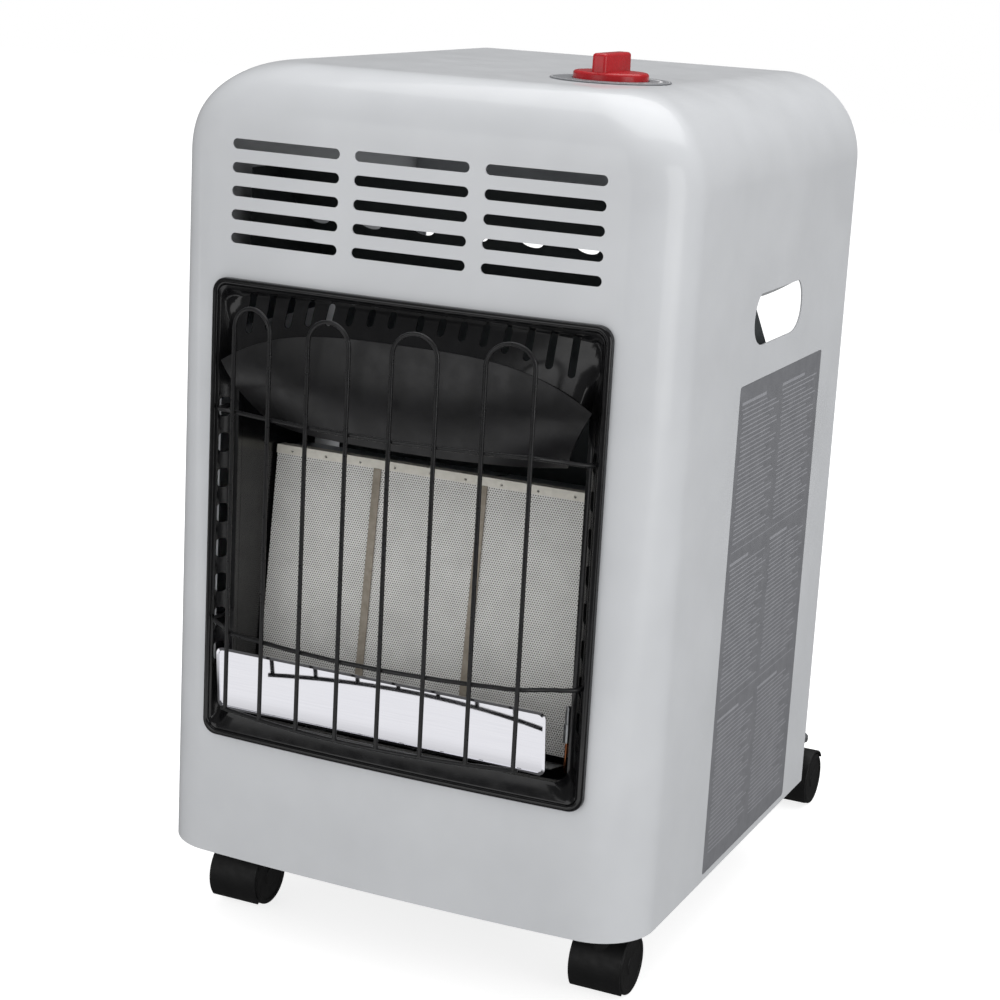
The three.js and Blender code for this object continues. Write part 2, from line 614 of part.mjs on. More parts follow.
// ---- deflector hood over the burner -------------------------------------------------------------
function deflectorHood() {
  const half = WINDOW_WIDTH / 2 + HOOD_OVERLAP;
  const foot = WINDOW_WIDTH / 2 - HOOD_FOOT_INSET;
  const [across, down] = [20, 5];
  const surface = (back) => {
    const rows = [];
    for (let i = 0; i <= across; i += 1) {
      const place = 2 * i / across - 1;
      const top = [place * half, 0, HOOD_TIP_Z + archRise(place, 1, HOOD_RISE)];
      top[1] = frontY(top[0]) + BAND_DEPTH_TOP - HOOD_STANDOFF;
      const bottom = [place * foot, 0, HOOD_BOTTOM_Z];
      bottom[1] = top[1] + HOOD_STANDOFF + HOOD_FOOT_Y * 2 * Math.abs(place) ** 3;
      const column = [];
      for (let j = 0; j <= down; j += 1) {
        const share = j / down;
        const [x, y, z] = top.map((v, k) => v + (bottom[k] - v) * (k === 1 ? share * share : share));
        const swell = HOOD_BULGE * (1 - place * place) * Math.sin(Math.PI * share);
        column.push([x, y - swell + (back ? HOOD_SHEET : 0), z]);
      }
      rows.push(column);
    }
    return rows;
  };
  const front = surface(false);
  const rear = surface(true);
  return skin(front.map((column, i) => [...column, ...rear[i].slice().reverse()]), true);
}

addPart('deflector_hood', deflectorHood(), BLACK_ENAMEL);

// ---- wire guard ---------------------------------------------------------------------------------
const guardY = (x) => -GUARD_STANDOFF - GUARD_BOW * (1 - (2 * x / WINDOW_WIDTH) ** 2);

function wireGuard() {
  const at = (x, z, back = 0) => new THREE.Vector3(x, guardY(x) + back, z);
  const radius = WIRE / 2;
  const wires = [];
  const springZ = GUARD_TOP_Z - LOOP_WIDTH / 2;
  for (let i = 0; i < LOOPS; i += 1) {
    const middle = (i - (LOOPS - 1) / 2) * LOOP_PITCH;
    const loop = [at(middle - LOOP_WIDTH / 2, GUARD_BOTTOM_Z)];
    for (let k = 0; k <= 8; k += 1) {
      const turn = Math.PI * (1 - k / 8);
      loop.push(at(middle + (LOOP_WIDTH / 2) * Math.cos(turn), springZ + (LOOP_WIDTH / 2) * Math.sin(turn)));
    }
    loop.push(at(middle + LOOP_WIDTH / 2, GUARD_BOTTOM_Z));
    wires.push(tube(loop, radius, WIRE_SIDES));
  }
  const hookX = BEZEL_WIDTH / 2 - SIDE_SLOT_INSET;
  const outermost = (LOOPS - 1) / 2 * LOOP_PITCH + LOOP_WIDTH / 2;
  const crossbar = (slot, drop) => {
    const slotZ = SIDE_SLOT_TOP_Z - slot * SIDE_SLOT_PITCH;
    const z = slotZ - drop;
    const behind = WIRE - WELD_SINK;
    const half = [0.2, 0.6, 0.985].map((share) => at(outermost * share, z, behind));
    const hookY = frontY(hookX) - RIM_HEIGHT;
    const last = half[half.length - 1];
    half.push(new THREE.Vector3((last.x + hookX) / 2, (last.y + hookY) / 2, (last.z + slotZ) / 2));
    half.push(new THREE.Vector3(hookX, hookY, slotZ));
    half.push(new THREE.Vector3(hookX, HOOK_DEPTH, slotZ));
    const mirrored = half.map((p) => new THREE.Vector3(-p.x, p.y, p.z)).reverse();
    const line = new THREE.CatmullRomCurve3([...mirrored, ...half], false, 'centripetal').getPoints(27);
    return tube(line, radius, WIRE_SIDES);
  };
  wires.push(crossbar(0, UPPER_CROSSBAR_DROP));
  wires.push(crossbar(LOWER_CROSSBAR_SLOT, LOWER_CROSSBAR_DROP));
  const foot = [-1, -0.5, 0, 0.5, 1].map((share) => at(share * (outermost + WIRE), GUARD_BOTTOM_Z));
  wires.push(tube(new THREE.CatmullRomCurve3(foot).getPoints(8), radius, WIRE_SIDES));
  return joined(wires);
}

addPart('wire_guard', wireGuard(), BLACK_WIRE);

// ---- polished plate under the burner ------------------------------------------------------------
function lowerReflector() {
  const outline = roundedRectangle(MIRROR_LEFT, 0, MIRROR_RIGHT - MIRROR_LEFT, MIRROR_HEIGHT, MIRROR_RADIUS);
  const plate = prism(outline, 'y', [0, MIRROR_SHEET], 4);
  const tabs = [MIRROR_LEFT + 2 * MIRROR_TAB, MIRROR_RIGHT - 2 * MIRROR_TAB].map((x) => block(
    [x - MIRROR_TAB / 2, x + MIRROR_TAB / 2], [0, -MIRROR_BOTTOM_Y], [0, MIRROR_SHEET]));
  return joined([plate, ...tabs]);
}

const reflectorMesh = addPart('lower_reflector', lowerReflector(), MIRROR_STEEL);
reflectorMesh.position.set(0, MIRROR_BOTTOM_Y, MIRROR_BOTTOM_Z);
reflectorMesh.rotation.x = Math.atan2(MIRROR_LEAN, MIRROR_HEIGHT);

// ---- burner: tiles, plenums, manifold and injectors, leaning back together ------------------------
const burner = new THREE.Group();
burner.position.set(BURNER_X, BURNER_Y, BURNER_Z);
burner.rotation.x = -BURNER_LEAN;
cabinet.add(burner);

const VENTURI_Y = TILE_THICKNESS + PLENUM_DEPTH / 2 + 3;
const MANIFOLD_Z = -VENTURI_LENGTH - INJECTOR_REACH - INJECTOR_LENGTH - GAP - MANIFOLD_RADIUS;
const SIDE_PLATE_X = WINDOW_WIDTH / 2;

function plenum(x) {
  const [y0, y1] = [TILE_THICKNESS + GAP, TILE_THICKNESS + PLENUM_DEPTH];
  const half = TILE_WIDTH / 2;
  const casing = block([x - half, x + half], [y0, y1], [0, TILE_HEIGHT]);
  const hollow = block([x - half + SHEET, x + half - SHEET], [y0 - SHEET, y1 - SHEET],
    [SHEET, TILE_HEIGHT - SHEET]);
  const neck = rod(VENTURI_RADIUS, [-VENTURI_LENGTH, SHEET], x, VENTURI_Y, 20);
  const bore = rod(VENTURI_RADIUS - SHEET, [-VENTURI_LENGTH - SHEET, 2 * SHEET], x, VENTURI_Y, 20);
  return less(casing.add(neck), [hollow, bore]);
}

TILES.forEach((place, i) => {
  const x = (i - (TILES.length - 1) / 2) * TILE_PITCH;
  const tile = block([x - TILE_WIDTH / 2, x + TILE_WIDTH / 2], [0, TILE_THICKNESS], [0, TILE_HEIGHT]);
  addPart(`ceramic_tile_${place}`, tile, CERAMIC, burner);
  addPart(`burner_plenum_${place}`, plenum(x), SATIN_STEEL, burner);
  const tipZ = -VENTURI_LENGTH - INJECTOR_REACH;
  const injector = turned([[0, tipZ - INJECTOR_LENGTH], [INJECTOR_RADIUS, tipZ - INJECTOR_LENGTH],
    [INJECTOR_RADIUS, tipZ - INJECTOR_LENGTH / 3], [INJECTOR_RADIUS / 2, tipZ], [0, tipZ]], x, VENTURI_Y, 6);
  addPart(`injector_${place}`, injector, BRASS, burner);
});

['left', 'right'].forEach((place, i) => {
  const x = (i - 0.5) * TILE_PITCH;
  const strip = block([x - DIVIDER_WIDTH / 2, x + DIVIDER_WIDTH / 2], [-GAP - SHEET, -GAP],
    [SHEET, TILE_HEIGHT - RETAINER_HEIGHT - GAP]);
  addPart(`tile_divider_${place}`, strip, FIBRE, burner);
});

function tileRetainer() {
  const half = TILE_PITCH + TILE_WIDTH / 2;
  const [z0, z1] = [TILE_HEIGHT - RETAINER_HEIGHT, TILE_HEIGHT];
  const strip = block([-half, half], [-GAP - SHEET, -GAP], [z0, z1]);
  const overTop = block([-half, half], [-GAP - SHEET, TILE_THICKNESS], [z1 + GAP, z1 + GAP + SHEET]);
  const join = block([-half, half], [-GAP - SHEET, -GAP], [z1, z1 + GAP + SHEET]);
  const cuts = [];
  const each = Math.floor(half / RETAINER_HOLE_PITCH);
  for (let k = -each; k <= each; k += 1) {
    const hole = new THREE.Shape();
    hole.absarc(k * RETAINER_HOLE_PITCH, (z0 + z1) / 2, RETAINER_HOLE, 0, Math.PI * 2);
    cuts.push(prism(hole, 'y', [-GAP - 2 * SHEET, -GAP / 2], 4));
  }
  return less(joined([strip, join, overTop]), cuts);
}

addPart('tile_retainer', tileRetainer(), CERAMIC, burner);

function lyingRod(radius, [x0, x1], y, z, segments = 16) {
  const cylinder = new THREE.CylinderGeometry(radius, radius, x1 - x0, segments);
  return solid(cylinder.rotateZ(Math.PI / 2).translate((x0 + x1) / 2, y, z));
}

const manifoldEnds = [-SIDE_PLATE_X - BURNER_X + GAP, SIDE_PLATE_X - BURNER_X - GAP];
addPart('gas_manifold', lyingRod(MANIFOLD_RADIUS, manifoldEnds, VENTURI_Y, MANIFOLD_Z), SATIN_STEEL, burner);

// ---- sheet parts inside the cabinet -------------------------------------------------------------
const WINDOW_LIP_END_Y = frontY(WINDOW_WIDTH / 2) + BAND_DEPTH_SIDE + WINDOW_LIP + GAP;
for (const [place, side] of [['left', -1], ['right', 1]]) {
  const x = [side * SIDE_PLATE_X, side * (SIDE_PLATE_X + SHEET)].sort((a, b) => a - b);
  const plate = block(x, [WINDOW_LIP_END_Y, WINDOW_LIP_END_Y + SIDE_PLATE_DEPTH],
    [TRAY_TOP_Z + GAP, WINDOW_SHOULDER_Z - WINDOW_RADIUS]);
  addPart(`burner_side_plate_${place}`, plate, BLACK_ENAMEL);
}

function chamberFloor() {
  const [front, back] = [WINDOW_LIP_END_Y, BURNER_Y - 2];
  const [low, high] = [WINDOW_BOTTOM + 2, BURNER_Z - 6];
  const section = new THREE.Shape();
  section.moveTo(front, low);
  section.lineTo(back, high);
  section.lineTo(back, high + FLOOR_SHEET);
  section.lineTo(front, low + FLOOR_SHEET);
  section.closePath();
  return prism(section, 'x', [-SIDE_PLATE_X + GAP, FLOOR_RIGHT]);
}

addPart('chamber_floor', chamberFloor(), SATIN_STEEL);

function heatShield() {
  const half = SHIELD_WIDTH / 2;
  const bottom = TRAY_TOP_Z + GAP;
  const topY = SHIELD_Y - (SHIELD_TOP_Z - SHIELD_FOLD_Z);
  const slant = SHEET * Math.tan(Math.PI / 8);
  const section = new THREE.Shape();
  section.moveTo(SHIELD_Y, bottom);
  section.lineTo(SHIELD_Y + SHIELD_FLANGE, bottom);
  section.lineTo(SHIELD_Y + SHIELD_FLANGE, bottom + SHEET);
  section.lineTo(SHIELD_Y + SHEET, bottom + SHEET);
  section.lineTo(SHIELD_Y + SHEET, SHIELD_FOLD_Z + slant);
  section.lineTo(topY + SHEET * Math.SQRT1_2, SHIELD_TOP_Z + SHEET * Math.SQRT1_2);
  section.lineTo(topY, SHIELD_TOP_Z);
  section.lineTo(SHIELD_Y, SHIELD_FOLD_Z);
  section.closePath();
  const flanges = [-half, half - SHEET].map((x) => block([x, x + SHEET], [SHIELD_Y, SHIELD_Y + SHIELD_FLANGE],
    [bottom, SHIELD_FOLD_Z]));
  const cuts = [];
  const holeY = SHIELD_Y - (SHIELD_HOLE_Z - SHIELD_FOLD_Z);
  for (let i = 0; i < SHIELD_HOLES; i += 1) {
    const x = SHIELD_HOLE_X + (i - (SHIELD_HOLES - 1) / 2) * SHIELD_HOLE_PITCH;
    const outline = new THREE.Shape().absellipse(x, SHIELD_HOLE_Z, SHIELD_HOLE_RADIUS,
      SHIELD_HOLE_RADIUS * Math.SQRT1_2, 0, Math.PI * 2);
    cuts.push(prism(outline, 'y', [holeY - 2 * SHIELD_HOLE_RADIUS, holeY + 2 * SHIELD_HOLE_RADIUS], 8));
  }
  return less(joined([prism(section, 'x', [-half, half]), ...flanges]), cuts);
}

addPart('heat_shield', heatShield(), DARK_STEEL);

// ---- base tray ----------------------------------------------------------------------------------
const TRAY_INSET = SHEET + TRAY_CLEARANCE;
const TRAY_SHOULDER_Y = CABINET_DEPTH - SHEET - TRAY_CLEARANCE;

function trayForm(inset, heights) {
  const drawn = inset + TRAY_INSET;
  const front = planOutline(drawn, drawn, CORNER_RADIUS - drawn, TRAY_SHOULDER_Y - inset);
  const radius = TRAY_REAR_RADIUS - inset;
  const half = TRAY_REAR_HALF_WIDTH - inset;
  const corner = [];
  for (let i = 0; i <= 6; i += 1) {
    const turn = (i / 6) * (Math.PI / 2);
    corner.push([half - radius * (1 - Math.cos(turn)), TRAY_REAR_Y - inset - radius * (1 - Math.sin(turn))]);
  }
  const right = [[half, TRAY_SHOULDER_Y - inset], ...corner];
  const left = right.map(([x, y]) => [-x, y]).reverse();
  const outline = [...front, ...right, ...left].map(([x, y]) => new THREE.Vector2(x, y));
  return prism(new THREE.Shape(outline), 'z', heights);
}

function baseTray() {
  const floorZ = TRAY_TOP_Z - SHEET;
  const pan = trayForm(0, [floorZ, TRAY_TOP_Z + TRAY_RIM]).subtract(
    trayForm(SHEET, [TRAY_TOP_Z, TRAY_TOP_Z + TRAY_RIM + SHEET]));
  const [inner, outer] = [RING_RADIUS, RING_RADIUS + RING_WIDTH];
  const [low, high] = [TRAY_TOP_Z - SHEET / 2, TRAY_TOP_Z + RING_HEIGHT];
  const section = [[inner, low], [outer, low], [outer, high], [inner, high], [inner, low]];
  const ring = turned(section, 0, RING_Y, 40);
  return pan.add(ring);
}

addPart('base_tray', baseTray(), DARK_STEEL);

// ---- gas valve and its control ------------------------------------------------------------------
const VALVE_TOP_Z = VALVE_BOTTOM_Z + VALVE_HEIGHT;
const BORE_RADIUS = STEM_RADIUS + RUNNING;
const PLUNGER_BOTTOM_Z = VALVE_BOTTOM_Z + 2 * SHEET + KNOB_TRAVEL;
const PLUNGER_TOP_Z = VALVE_BOTTOM_Z + VALVE_HEIGHT * 0.7;
const NECK_TOP_Z = BRACKET_Z + SHEET + NUT_HEIGHT + 2;
const DIAL_TOP_Z = CABINET_TOP + GAP + DIAL_THICKNESS;
const KNOB_BOTTOM_Z = DIAL_TOP_Z - KNOB_SINK;
const STEM_TOP_Z = KNOB_BOTTOM_Z + KNOB_BASE + GRIP_HEIGHT / 2;

function gasValve() {
  const body = block([KNOB_X - VALVE_WIDTH / 2, KNOB_X + VALVE_WIDTH / 2],
    [KNOB_Y - VALVE_DEPTH / 2, KNOB_Y + VALVE_DEPTH / 2], [VALVE_BOTTOM_Z, VALVE_TOP_Z]);
  const [footZ, shoulderZ] = [VALVE_TOP_Z - 1, BRACKET_Z - GAP];
  const neck = turned([[0, footZ], [SHOULDER_RADIUS, footZ], [SHOULDER_RADIUS, shoulderZ],
    [NECK_RADIUS, shoulderZ], [NECK_RADIUS, NECK_TOP_Z], [0, NECK_TOP_Z]], KNOB_X, KNOB_Y);
  const bore = rod(BORE_RADIUS, [PLUNGER_BOTTOM_Z - KNOB_TRAVEL - GAP, NECK_TOP_Z + 1], KNOB_X, KNOB_Y);
  return body.add(neck).subtract(bore);
}

addPart('gas_valve', gasValve(), SATIN_STEEL);
addPart('valve_plunger', rod(STEM_RADIUS, [PLUNGER_BOTTOM_Z, PLUNGER_TOP_Z], KNOB_X, KNOB_Y), BRASS);
addPart('valve_stem', rod(STEM_RADIUS, [PLUNGER_TOP_Z + GAP, STEM_TOP_Z], KNOB_X, KNOB_Y), SATIN_STEEL);

function valveBracket() {
  const [front, back] = [KNOB_Y - BRACKET_DEPTH / 2, KNOB_Y + BRACKET_DEPTH / 2];
  const x = [KNOB_X - BRACKET_WIDTH / 2, KNOB_X + BRACKET_WIDTH / 2];
  const topZ = CABINET_TOP - SHEET - GAP;
  const parts = [block(x, [front, back], [BRACKET_Z, BRACKET_Z + SHEET])];
  for (const [edge, out] of [[front, -1], [back, 1]]) {
    const wall = [edge, edge - out * SHEET].sort((a, b) => a - b);
    const foot = [edge - out * SHEET, edge + out * BRACKET_FOOT].sort((a, b) => a - b);
    parts.push(block(x, wall, [BRACKET_Z, topZ]));
    parts.push(block(x, foot, [topZ - SHEET, topZ]));
  }
  const hole = rod(NECK_RADIUS + GAP, [BRACKET_Z - 1, BRACKET_Z + 2 * SHEET], KNOB_X, KNOB_Y);
  return joined(parts).subtract(hole);
}

addPart('valve_bracket', valveBracket(), SATIN_STEEL);

const nutBottom = BRACKET_Z + SHEET + GAP;
addPart('valve_nut', rod(NUT_RADIUS, [nutBottom, nutBottom + NUT_HEIGHT], KNOB_X, KNOB_Y, 6).subtract(
  rod(NECK_RADIUS + GAP, [nutBottom - 1, nutBottom + NUT_HEIGHT + 1], KNOB_X, KNOB_Y)), BRASS);

addPart('dial_plate', rod(DIAL_RADIUS, [CABINET_TOP + GAP, DIAL_TOP_Z], KNOB_X, KNOB_Y, 40).subtract(
  rod(KNOB_RADIUS + KNOB_CLEARANCE, [CABINET_TOP - 1, DIAL_TOP_Z + 1], KNOB_X, KNOB_Y, 40)), GREY_PRINT);

function controlKnob() {
  const edge = 1.5;
  const gripInset = 2.8;
  const gripCorner = 3;
  const baseTopZ = KNOB_BOTTOM_Z + KNOB_BASE;
  const base = turned([[0, KNOB_BOTTOM_Z], [KNOB_RADIUS, KNOB_BOTTOM_Z], [KNOB_RADIUS, baseTopZ - edge],
    [KNOB_RADIUS - edge, baseTopZ], [0, baseTopZ]], KNOB_X, KNOB_Y, 32);
  const reach = KNOB_RADIUS - gripInset;
  const gripLeft = KNOB_X - GRIP_WIDTH / 2;
  const gripOutline = roundedRectangle(gripLeft, KNOB_Y - reach, GRIP_WIDTH, 2 * reach, gripCorner);
  const grip = prism(gripOutline, 'z', [KNOB_BOTTOM_Z + gripInset, baseTopZ + GRIP_HEIGHT], 3);
  return base.add(grip).subtract(rod(BORE_RADIUS, [KNOB_BOTTOM_Z - 1, STEM_TOP_Z + GAP], KNOB_X, KNOB_Y));
}

addPart('control_knob', controlKnob(), RED_PLASTIC);

function inletFitting() {
  const [collarEnd, collar, throat] = [INLET_LENGTH / 3, INLET_RADIUS + 2, INLET_RADIUS - 1];
  const barb = [[0, 0], [collar, 0], [collar, collarEnd], [throat, collarEnd]];
  const barbs = 3;
  const span = (INLET_LENGTH - collarEnd) / barbs;
  for (let i = 0; i < barbs; i += 1) {
    const z = collarEnd + i * span;
    barb.push([INLET_RADIUS, z + 1], [throat, z + span]);
  }
  barb.push([0, INLET_LENGTH]);
  return turned(barb, 0, 0, 16);
}

const inlet = addPart('gas_inlet_fitting', inletFitting(), BRASS);
inlet.rotation.x = -Math.PI / 2;
inlet.position.set(KNOB_X, KNOB_Y + VALVE_DEPTH / 2 + GAP, (VALVE_BOTTOM_Z + VALVE_TOP_Z) / 2);

// ---- pipes, pilot, thermocouple and spark electrode ---------------------------------------------
cabinet.updateMatrixWorld(true);
const UNDER_VALVE = VALVE_BOTTOM_Z - GAP;
const feedEnd = burner.localToWorld(new THREE.Vector3(FEED_X - BURNER_X, VENTURI_Y, MANIFOLD_Z));
addPart('burner_feed_pipe', tube(route([[FEED_X, FEED_Y, UNDER_VALVE], [FEED_X, FEED_Y, feedEnd.z],
  [FEED_X, feedEnd.y + MANIFOLD_RADIUS + GAP, feedEnd.z]], FEED_BEND), FEED_RADIUS, 12), COPPER);

const SHIFT_Z = VALVE_BOTTOM_Z - LINE_SHIFT_DROP;
const PILOT_FOOT_Z = PILOT_Z - GAP;
// Each line leaves the foot of its pilot part, runs back low down and climbs to the valve.
function lineToValve(y, drop, climbY, radius) {
  const lowZ = PILOT_FOOT_Z - drop;
  const corners = [[PILOT_X, y, PILOT_FOOT_Z], [PILOT_X, y, lowZ], [PILOT_X, climbY, lowZ],
    [PILOT_X, climbY, SHIFT_Z], [LINE_X, climbY, SHIFT_Z], [LINE_X, climbY, UNDER_VALVE]];
  return tube(route(corners, LINE_BEND), radius, 8);
}

addPart('pilot_pipe', lineToValve(PILOT_Y, PILOT_PIPE_DROP, FEED_Y - 3, PILOT_PIPE_RADIUS), COPPER);
addPart('thermocouple_lead', lineToValve(PROBE_Y, LEAD_DROP, FEED_Y + 6, LEAD_RADIUS), COPPER);

const pilotHead = turned([[0, PILOT_Z], [PILOT_RADIUS, PILOT_Z], [PILOT_RADIUS, PILOT_Z + PILOT_HEIGHT * 0.7],
  [PILOT_RADIUS + 1.5, PILOT_Z + PILOT_HEIGHT * 0.7], [PILOT_RADIUS + 1.5, PILOT_Z + PILOT_HEIGHT],
  [0, PILOT_Z + PILOT_HEIGHT]], PILOT_X, PILOT_Y, 14);
addPart('pilot_burner', pilotHead, SATIN_STEEL);

function thermocoupleProbe() {
  const [sleeveTop, top] = [PILOT_Z + PROBE_HEIGHT / 2, PILOT_Z + PROBE_HEIGHT];
  const sleeve = PROBE_RADIUS + 1;
  return turned([[0, PILOT_Z], [sleeve, PILOT_Z], [sleeve, sleeveTop], [PROBE_RADIUS, sleeveTop],
    [PROBE_RADIUS, top - 1], [0, top]], PILOT_X, PROBE_Y, 12);
}

function sparkElectrode() {
  const [foot, shoulder, tip] = [PILOT_Z - 8, PILOT_Z + ELECTRODE_HEIGHT - 6, PILOT_Z + ELECTRODE_HEIGHT + 4];
  return turned([[0, foot], [ELECTRODE_RADIUS, foot], [ELECTRODE_RADIUS, shoulder],
    [SPARK_WIRE_RADIUS, shoulder], [SPARK_WIRE_RADIUS, tip], [0, tip]], PILOT_X, ELECTRODE_Y, 12);
}

addPart('thermocouple_probe', thermocoupleProbe(), SATIN_STEEL);
addPart('spark_electrode', sparkElectrode(), CERAMIC);

// ---- tip-over switch on the tray ----------------------------------------------------------------
const switchBase = TRAY_TOP_Z + GAP;
addPart('tip_over_switch', block([SWITCH_X - SWITCH_SIZE[0] / 2, SWITCH_X + SWITCH_SIZE[0] / 2],
  [SWITCH_Y - SWITCH_SIZE[1] / 2, SWITCH_Y + SWITCH_SIZE[1] / 2], [switchBase, switchBase + SWITCH_SIZE[2]]),
BLACK_PLASTIC);

// ---- decal, let into a shallow pocket of the right side -------------------------------------------
const labelThickness = [HALF_WIDTH - LABEL_POCKET + GAP, HALF_WIDTH];
addPart('side_decal', block(labelThickness, [LABEL_FRONT_Y, LABEL_FRONT_Y + LABEL_LENGTH],
  [LABEL_BOTTOM_Z, LABEL_BOTTOM_Z + LABEL_HEIGHT]), GREY_PRINT);

// ---- castors ------------------------------------------------------------------------------------
const FENDER_INNER = WHEEL_RADIUS + FENDER_GAP;
const FENDER_OUTER = FENDER_INNER + FENDER_THICKNESS;
const TRAY_UNDERSIDE = TRAY_TOP_Z - SHEET;
const PIVOT_TOP_Z = TRAY_UNDERSIDE - GAP;
const PIVOT_BOTTOM_Z = WHEEL_RADIUS + AXLE_RADIUS + PIVOT_CLEARANCE;

// In (y, z), with the axle at the origin. Angles run from +y over the top towards the front.
function fenderOutline() {
  const shape = new THREE.Shape();
  shape.absarc(0, WHEEL_RADIUS, FENDER_OUTER, FENDER_BEHIND, FENDER_AHEAD, false);
  shape.absarc(0, WHEEL_RADIUS, FENDER_INNER, FENDER_AHEAD, FENDER_BEHIND, true);
  shape.closePath();
  return shape;
}

function spineOutline() {
  const shape = new THREE.Shape();
  shape.absarc(0, WHEEL_RADIUS, (FENDER_INNER + FENDER_OUTER) / 2, FENDER_BEHIND, FENDER_AHEAD, false);
  shape.lineTo(0, WHEEL_RADIUS - 3 * AXLE_RADIUS);
  shape.closePath();
  return shape;
}

// A castor at the origin: it rolls along y, and its upright pivot stands CASTOR_TRAIL in front of its axle.
function castorPieces() {
  const [half, spine] = [CASTOR_WIDTH / 2, SPINE_WIDTH / 2];
  const axleBore = lyingRod(AXLE_RADIUS + GAP, [-half, half], 0, WHEEL_RADIUS, 12);
  const pivotBore = rod(PIVOT_RADIUS + RUNNING, [PIVOT_BOTTOM_Z - GAP, PIVOT_TOP_Z], 0, -CASTOR_TRAIL, 16);
  const boss = rod(BOSS_RADIUS, [WHEEL_RADIUS + 10, BOSS_TOP_Z], 0, -CASTOR_TRAIL, 20);
  const wheelSpace = [-1, 1].map((side) => lyingRod(FENDER_INNER - GAP,
    [side * spine, side * (half + 1)].sort((a, b) => a - b), 0, WHEEL_RADIUS, 22));
  const housing = less(joined([prism(fenderOutline(), 'x', [-half, half], 9),
    prism(spineOutline(), 'x', [-spine, spine], 9), boss]), [axleBore, pivotBore, ...wheelSpace]);
  const flangeZ = PIVOT_TOP_Z - PIVOT_FLANGE;
  const pinProfile = [[0, PIVOT_BOTTOM_Z], [PIVOT_RADIUS, PIVOT_BOTTOM_Z], [PIVOT_RADIUS, flangeZ],
    [PIVOT_FLANGE_RADIUS, flangeZ], [PIVOT_FLANGE_RADIUS, PIVOT_TOP_Z], [0, PIVOT_TOP_Z]];
  const pivot = turned(pinProfile, 0, -CASTOR_TRAIL, 16);
  const axleHalf = half - 3;
  const axle = lyingRod(AXLE_RADIUS, [-axleHalf, axleHalf], 0, WHEEL_RADIUS, 12);
  const wheelOf = (side) => {
    const bevel = 2;
    const inner = half - WHEEL_WIDTH + GAP;
    const bore = AXLE_RADIUS + RUNNING;
    const [rim, axleEnd] = [WHEEL_RADIUS - bevel, axleHalf + GAP];
    const profile = [[bore, inner], [rim, inner], [WHEEL_RADIUS, inner + bevel], [WHEEL_RADIUS, half - bevel],
      [rim, half], [0, half], [0, axleEnd], [bore, axleEnd], [bore, inner]];
    const lathe = new THREE.LatheGeometry(profile.map(([r, along]) => new THREE.Vector2(r, along)), 22);
    const wheel = lathe.rotateZ(-side * Math.PI / 2);
    return solid(wheel.translate(0, 0, WHEEL_RADIUS));
  };
  return { housing, pivot, axle, wheel_left: wheelOf(-1), wheel_right: wheelOf(1) };
}

const castorFinish = {
  housing: BLACK_PLASTIC,
  pivot: SATIN_STEEL,
  axle: SATIN_STEEL,
  wheel_left: BLACK_PLASTIC,
  wheel_right: BLACK_PLASTIC,
};
const pieces = castorPieces();
for (const [corner, side, pivotY] of [['front_left', -1, CASTOR_FRONT_Y], ['front_right', 1, CASTOR_FRONT_Y],
  ['rear_left', -1, CASTOR_REAR_Y], ['rear_right', 1, CASTOR_REAR_Y]]) {
  for (const [piece, body] of Object.entries(pieces)) {
    const placed = body.translate([side * CASTOR_X, pivotY + CASTOR_TRAIL, 0]);
    addPart(`castor_${corner}_${piece}`, placed, castorFinish[piece]);
  }
}

// ---- origin: the middle of the outside size, on the floor -----------------------------------------
const ORIGIN_Y = (TRAY_REAR_Y + guardY((LOOP_PITCH - LOOP_WIDTH) / 2) - WIRE / 2) / 2;
cabinet.position.y = -ORIGIN_Y;

export default cabinet;
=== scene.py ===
"""Portable gas cabinet heater: the looks of each piece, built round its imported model.

Every length here is in millimetres in the object's own frame, and `M` turns it into metres.
x = 0 is the middle of the cabinet, +y points to the back and z = 0 is the floor.
"""
from math import cos, pi, radians, sin, sqrt, tan

import bmesh
import bpy
from mathutils import Matrix, Vector


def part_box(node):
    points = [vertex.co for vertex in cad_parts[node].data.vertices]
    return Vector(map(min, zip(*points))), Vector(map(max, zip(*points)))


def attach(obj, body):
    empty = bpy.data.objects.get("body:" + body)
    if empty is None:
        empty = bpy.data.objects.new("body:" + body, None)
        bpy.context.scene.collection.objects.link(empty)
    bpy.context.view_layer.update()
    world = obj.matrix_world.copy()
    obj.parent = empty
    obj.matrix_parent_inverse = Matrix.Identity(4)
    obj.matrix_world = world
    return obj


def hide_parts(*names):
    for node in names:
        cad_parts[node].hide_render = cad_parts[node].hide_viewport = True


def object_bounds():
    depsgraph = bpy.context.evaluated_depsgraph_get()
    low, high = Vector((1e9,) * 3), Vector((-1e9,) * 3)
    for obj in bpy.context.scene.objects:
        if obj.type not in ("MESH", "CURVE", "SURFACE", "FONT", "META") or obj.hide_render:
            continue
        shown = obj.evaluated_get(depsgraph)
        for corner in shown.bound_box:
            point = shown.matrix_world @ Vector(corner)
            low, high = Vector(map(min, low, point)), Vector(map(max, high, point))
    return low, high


M = 0.001

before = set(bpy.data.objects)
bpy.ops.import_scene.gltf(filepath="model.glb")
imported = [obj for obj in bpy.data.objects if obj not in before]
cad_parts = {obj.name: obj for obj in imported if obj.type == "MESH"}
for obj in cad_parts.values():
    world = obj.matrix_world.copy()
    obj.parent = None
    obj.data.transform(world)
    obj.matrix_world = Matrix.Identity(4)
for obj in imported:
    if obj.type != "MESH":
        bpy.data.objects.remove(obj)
cad_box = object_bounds()


def place(node_name):
    """A CAD node's low and high corner, in millimetres."""
    low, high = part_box(node_name)
    return low / M, high / M


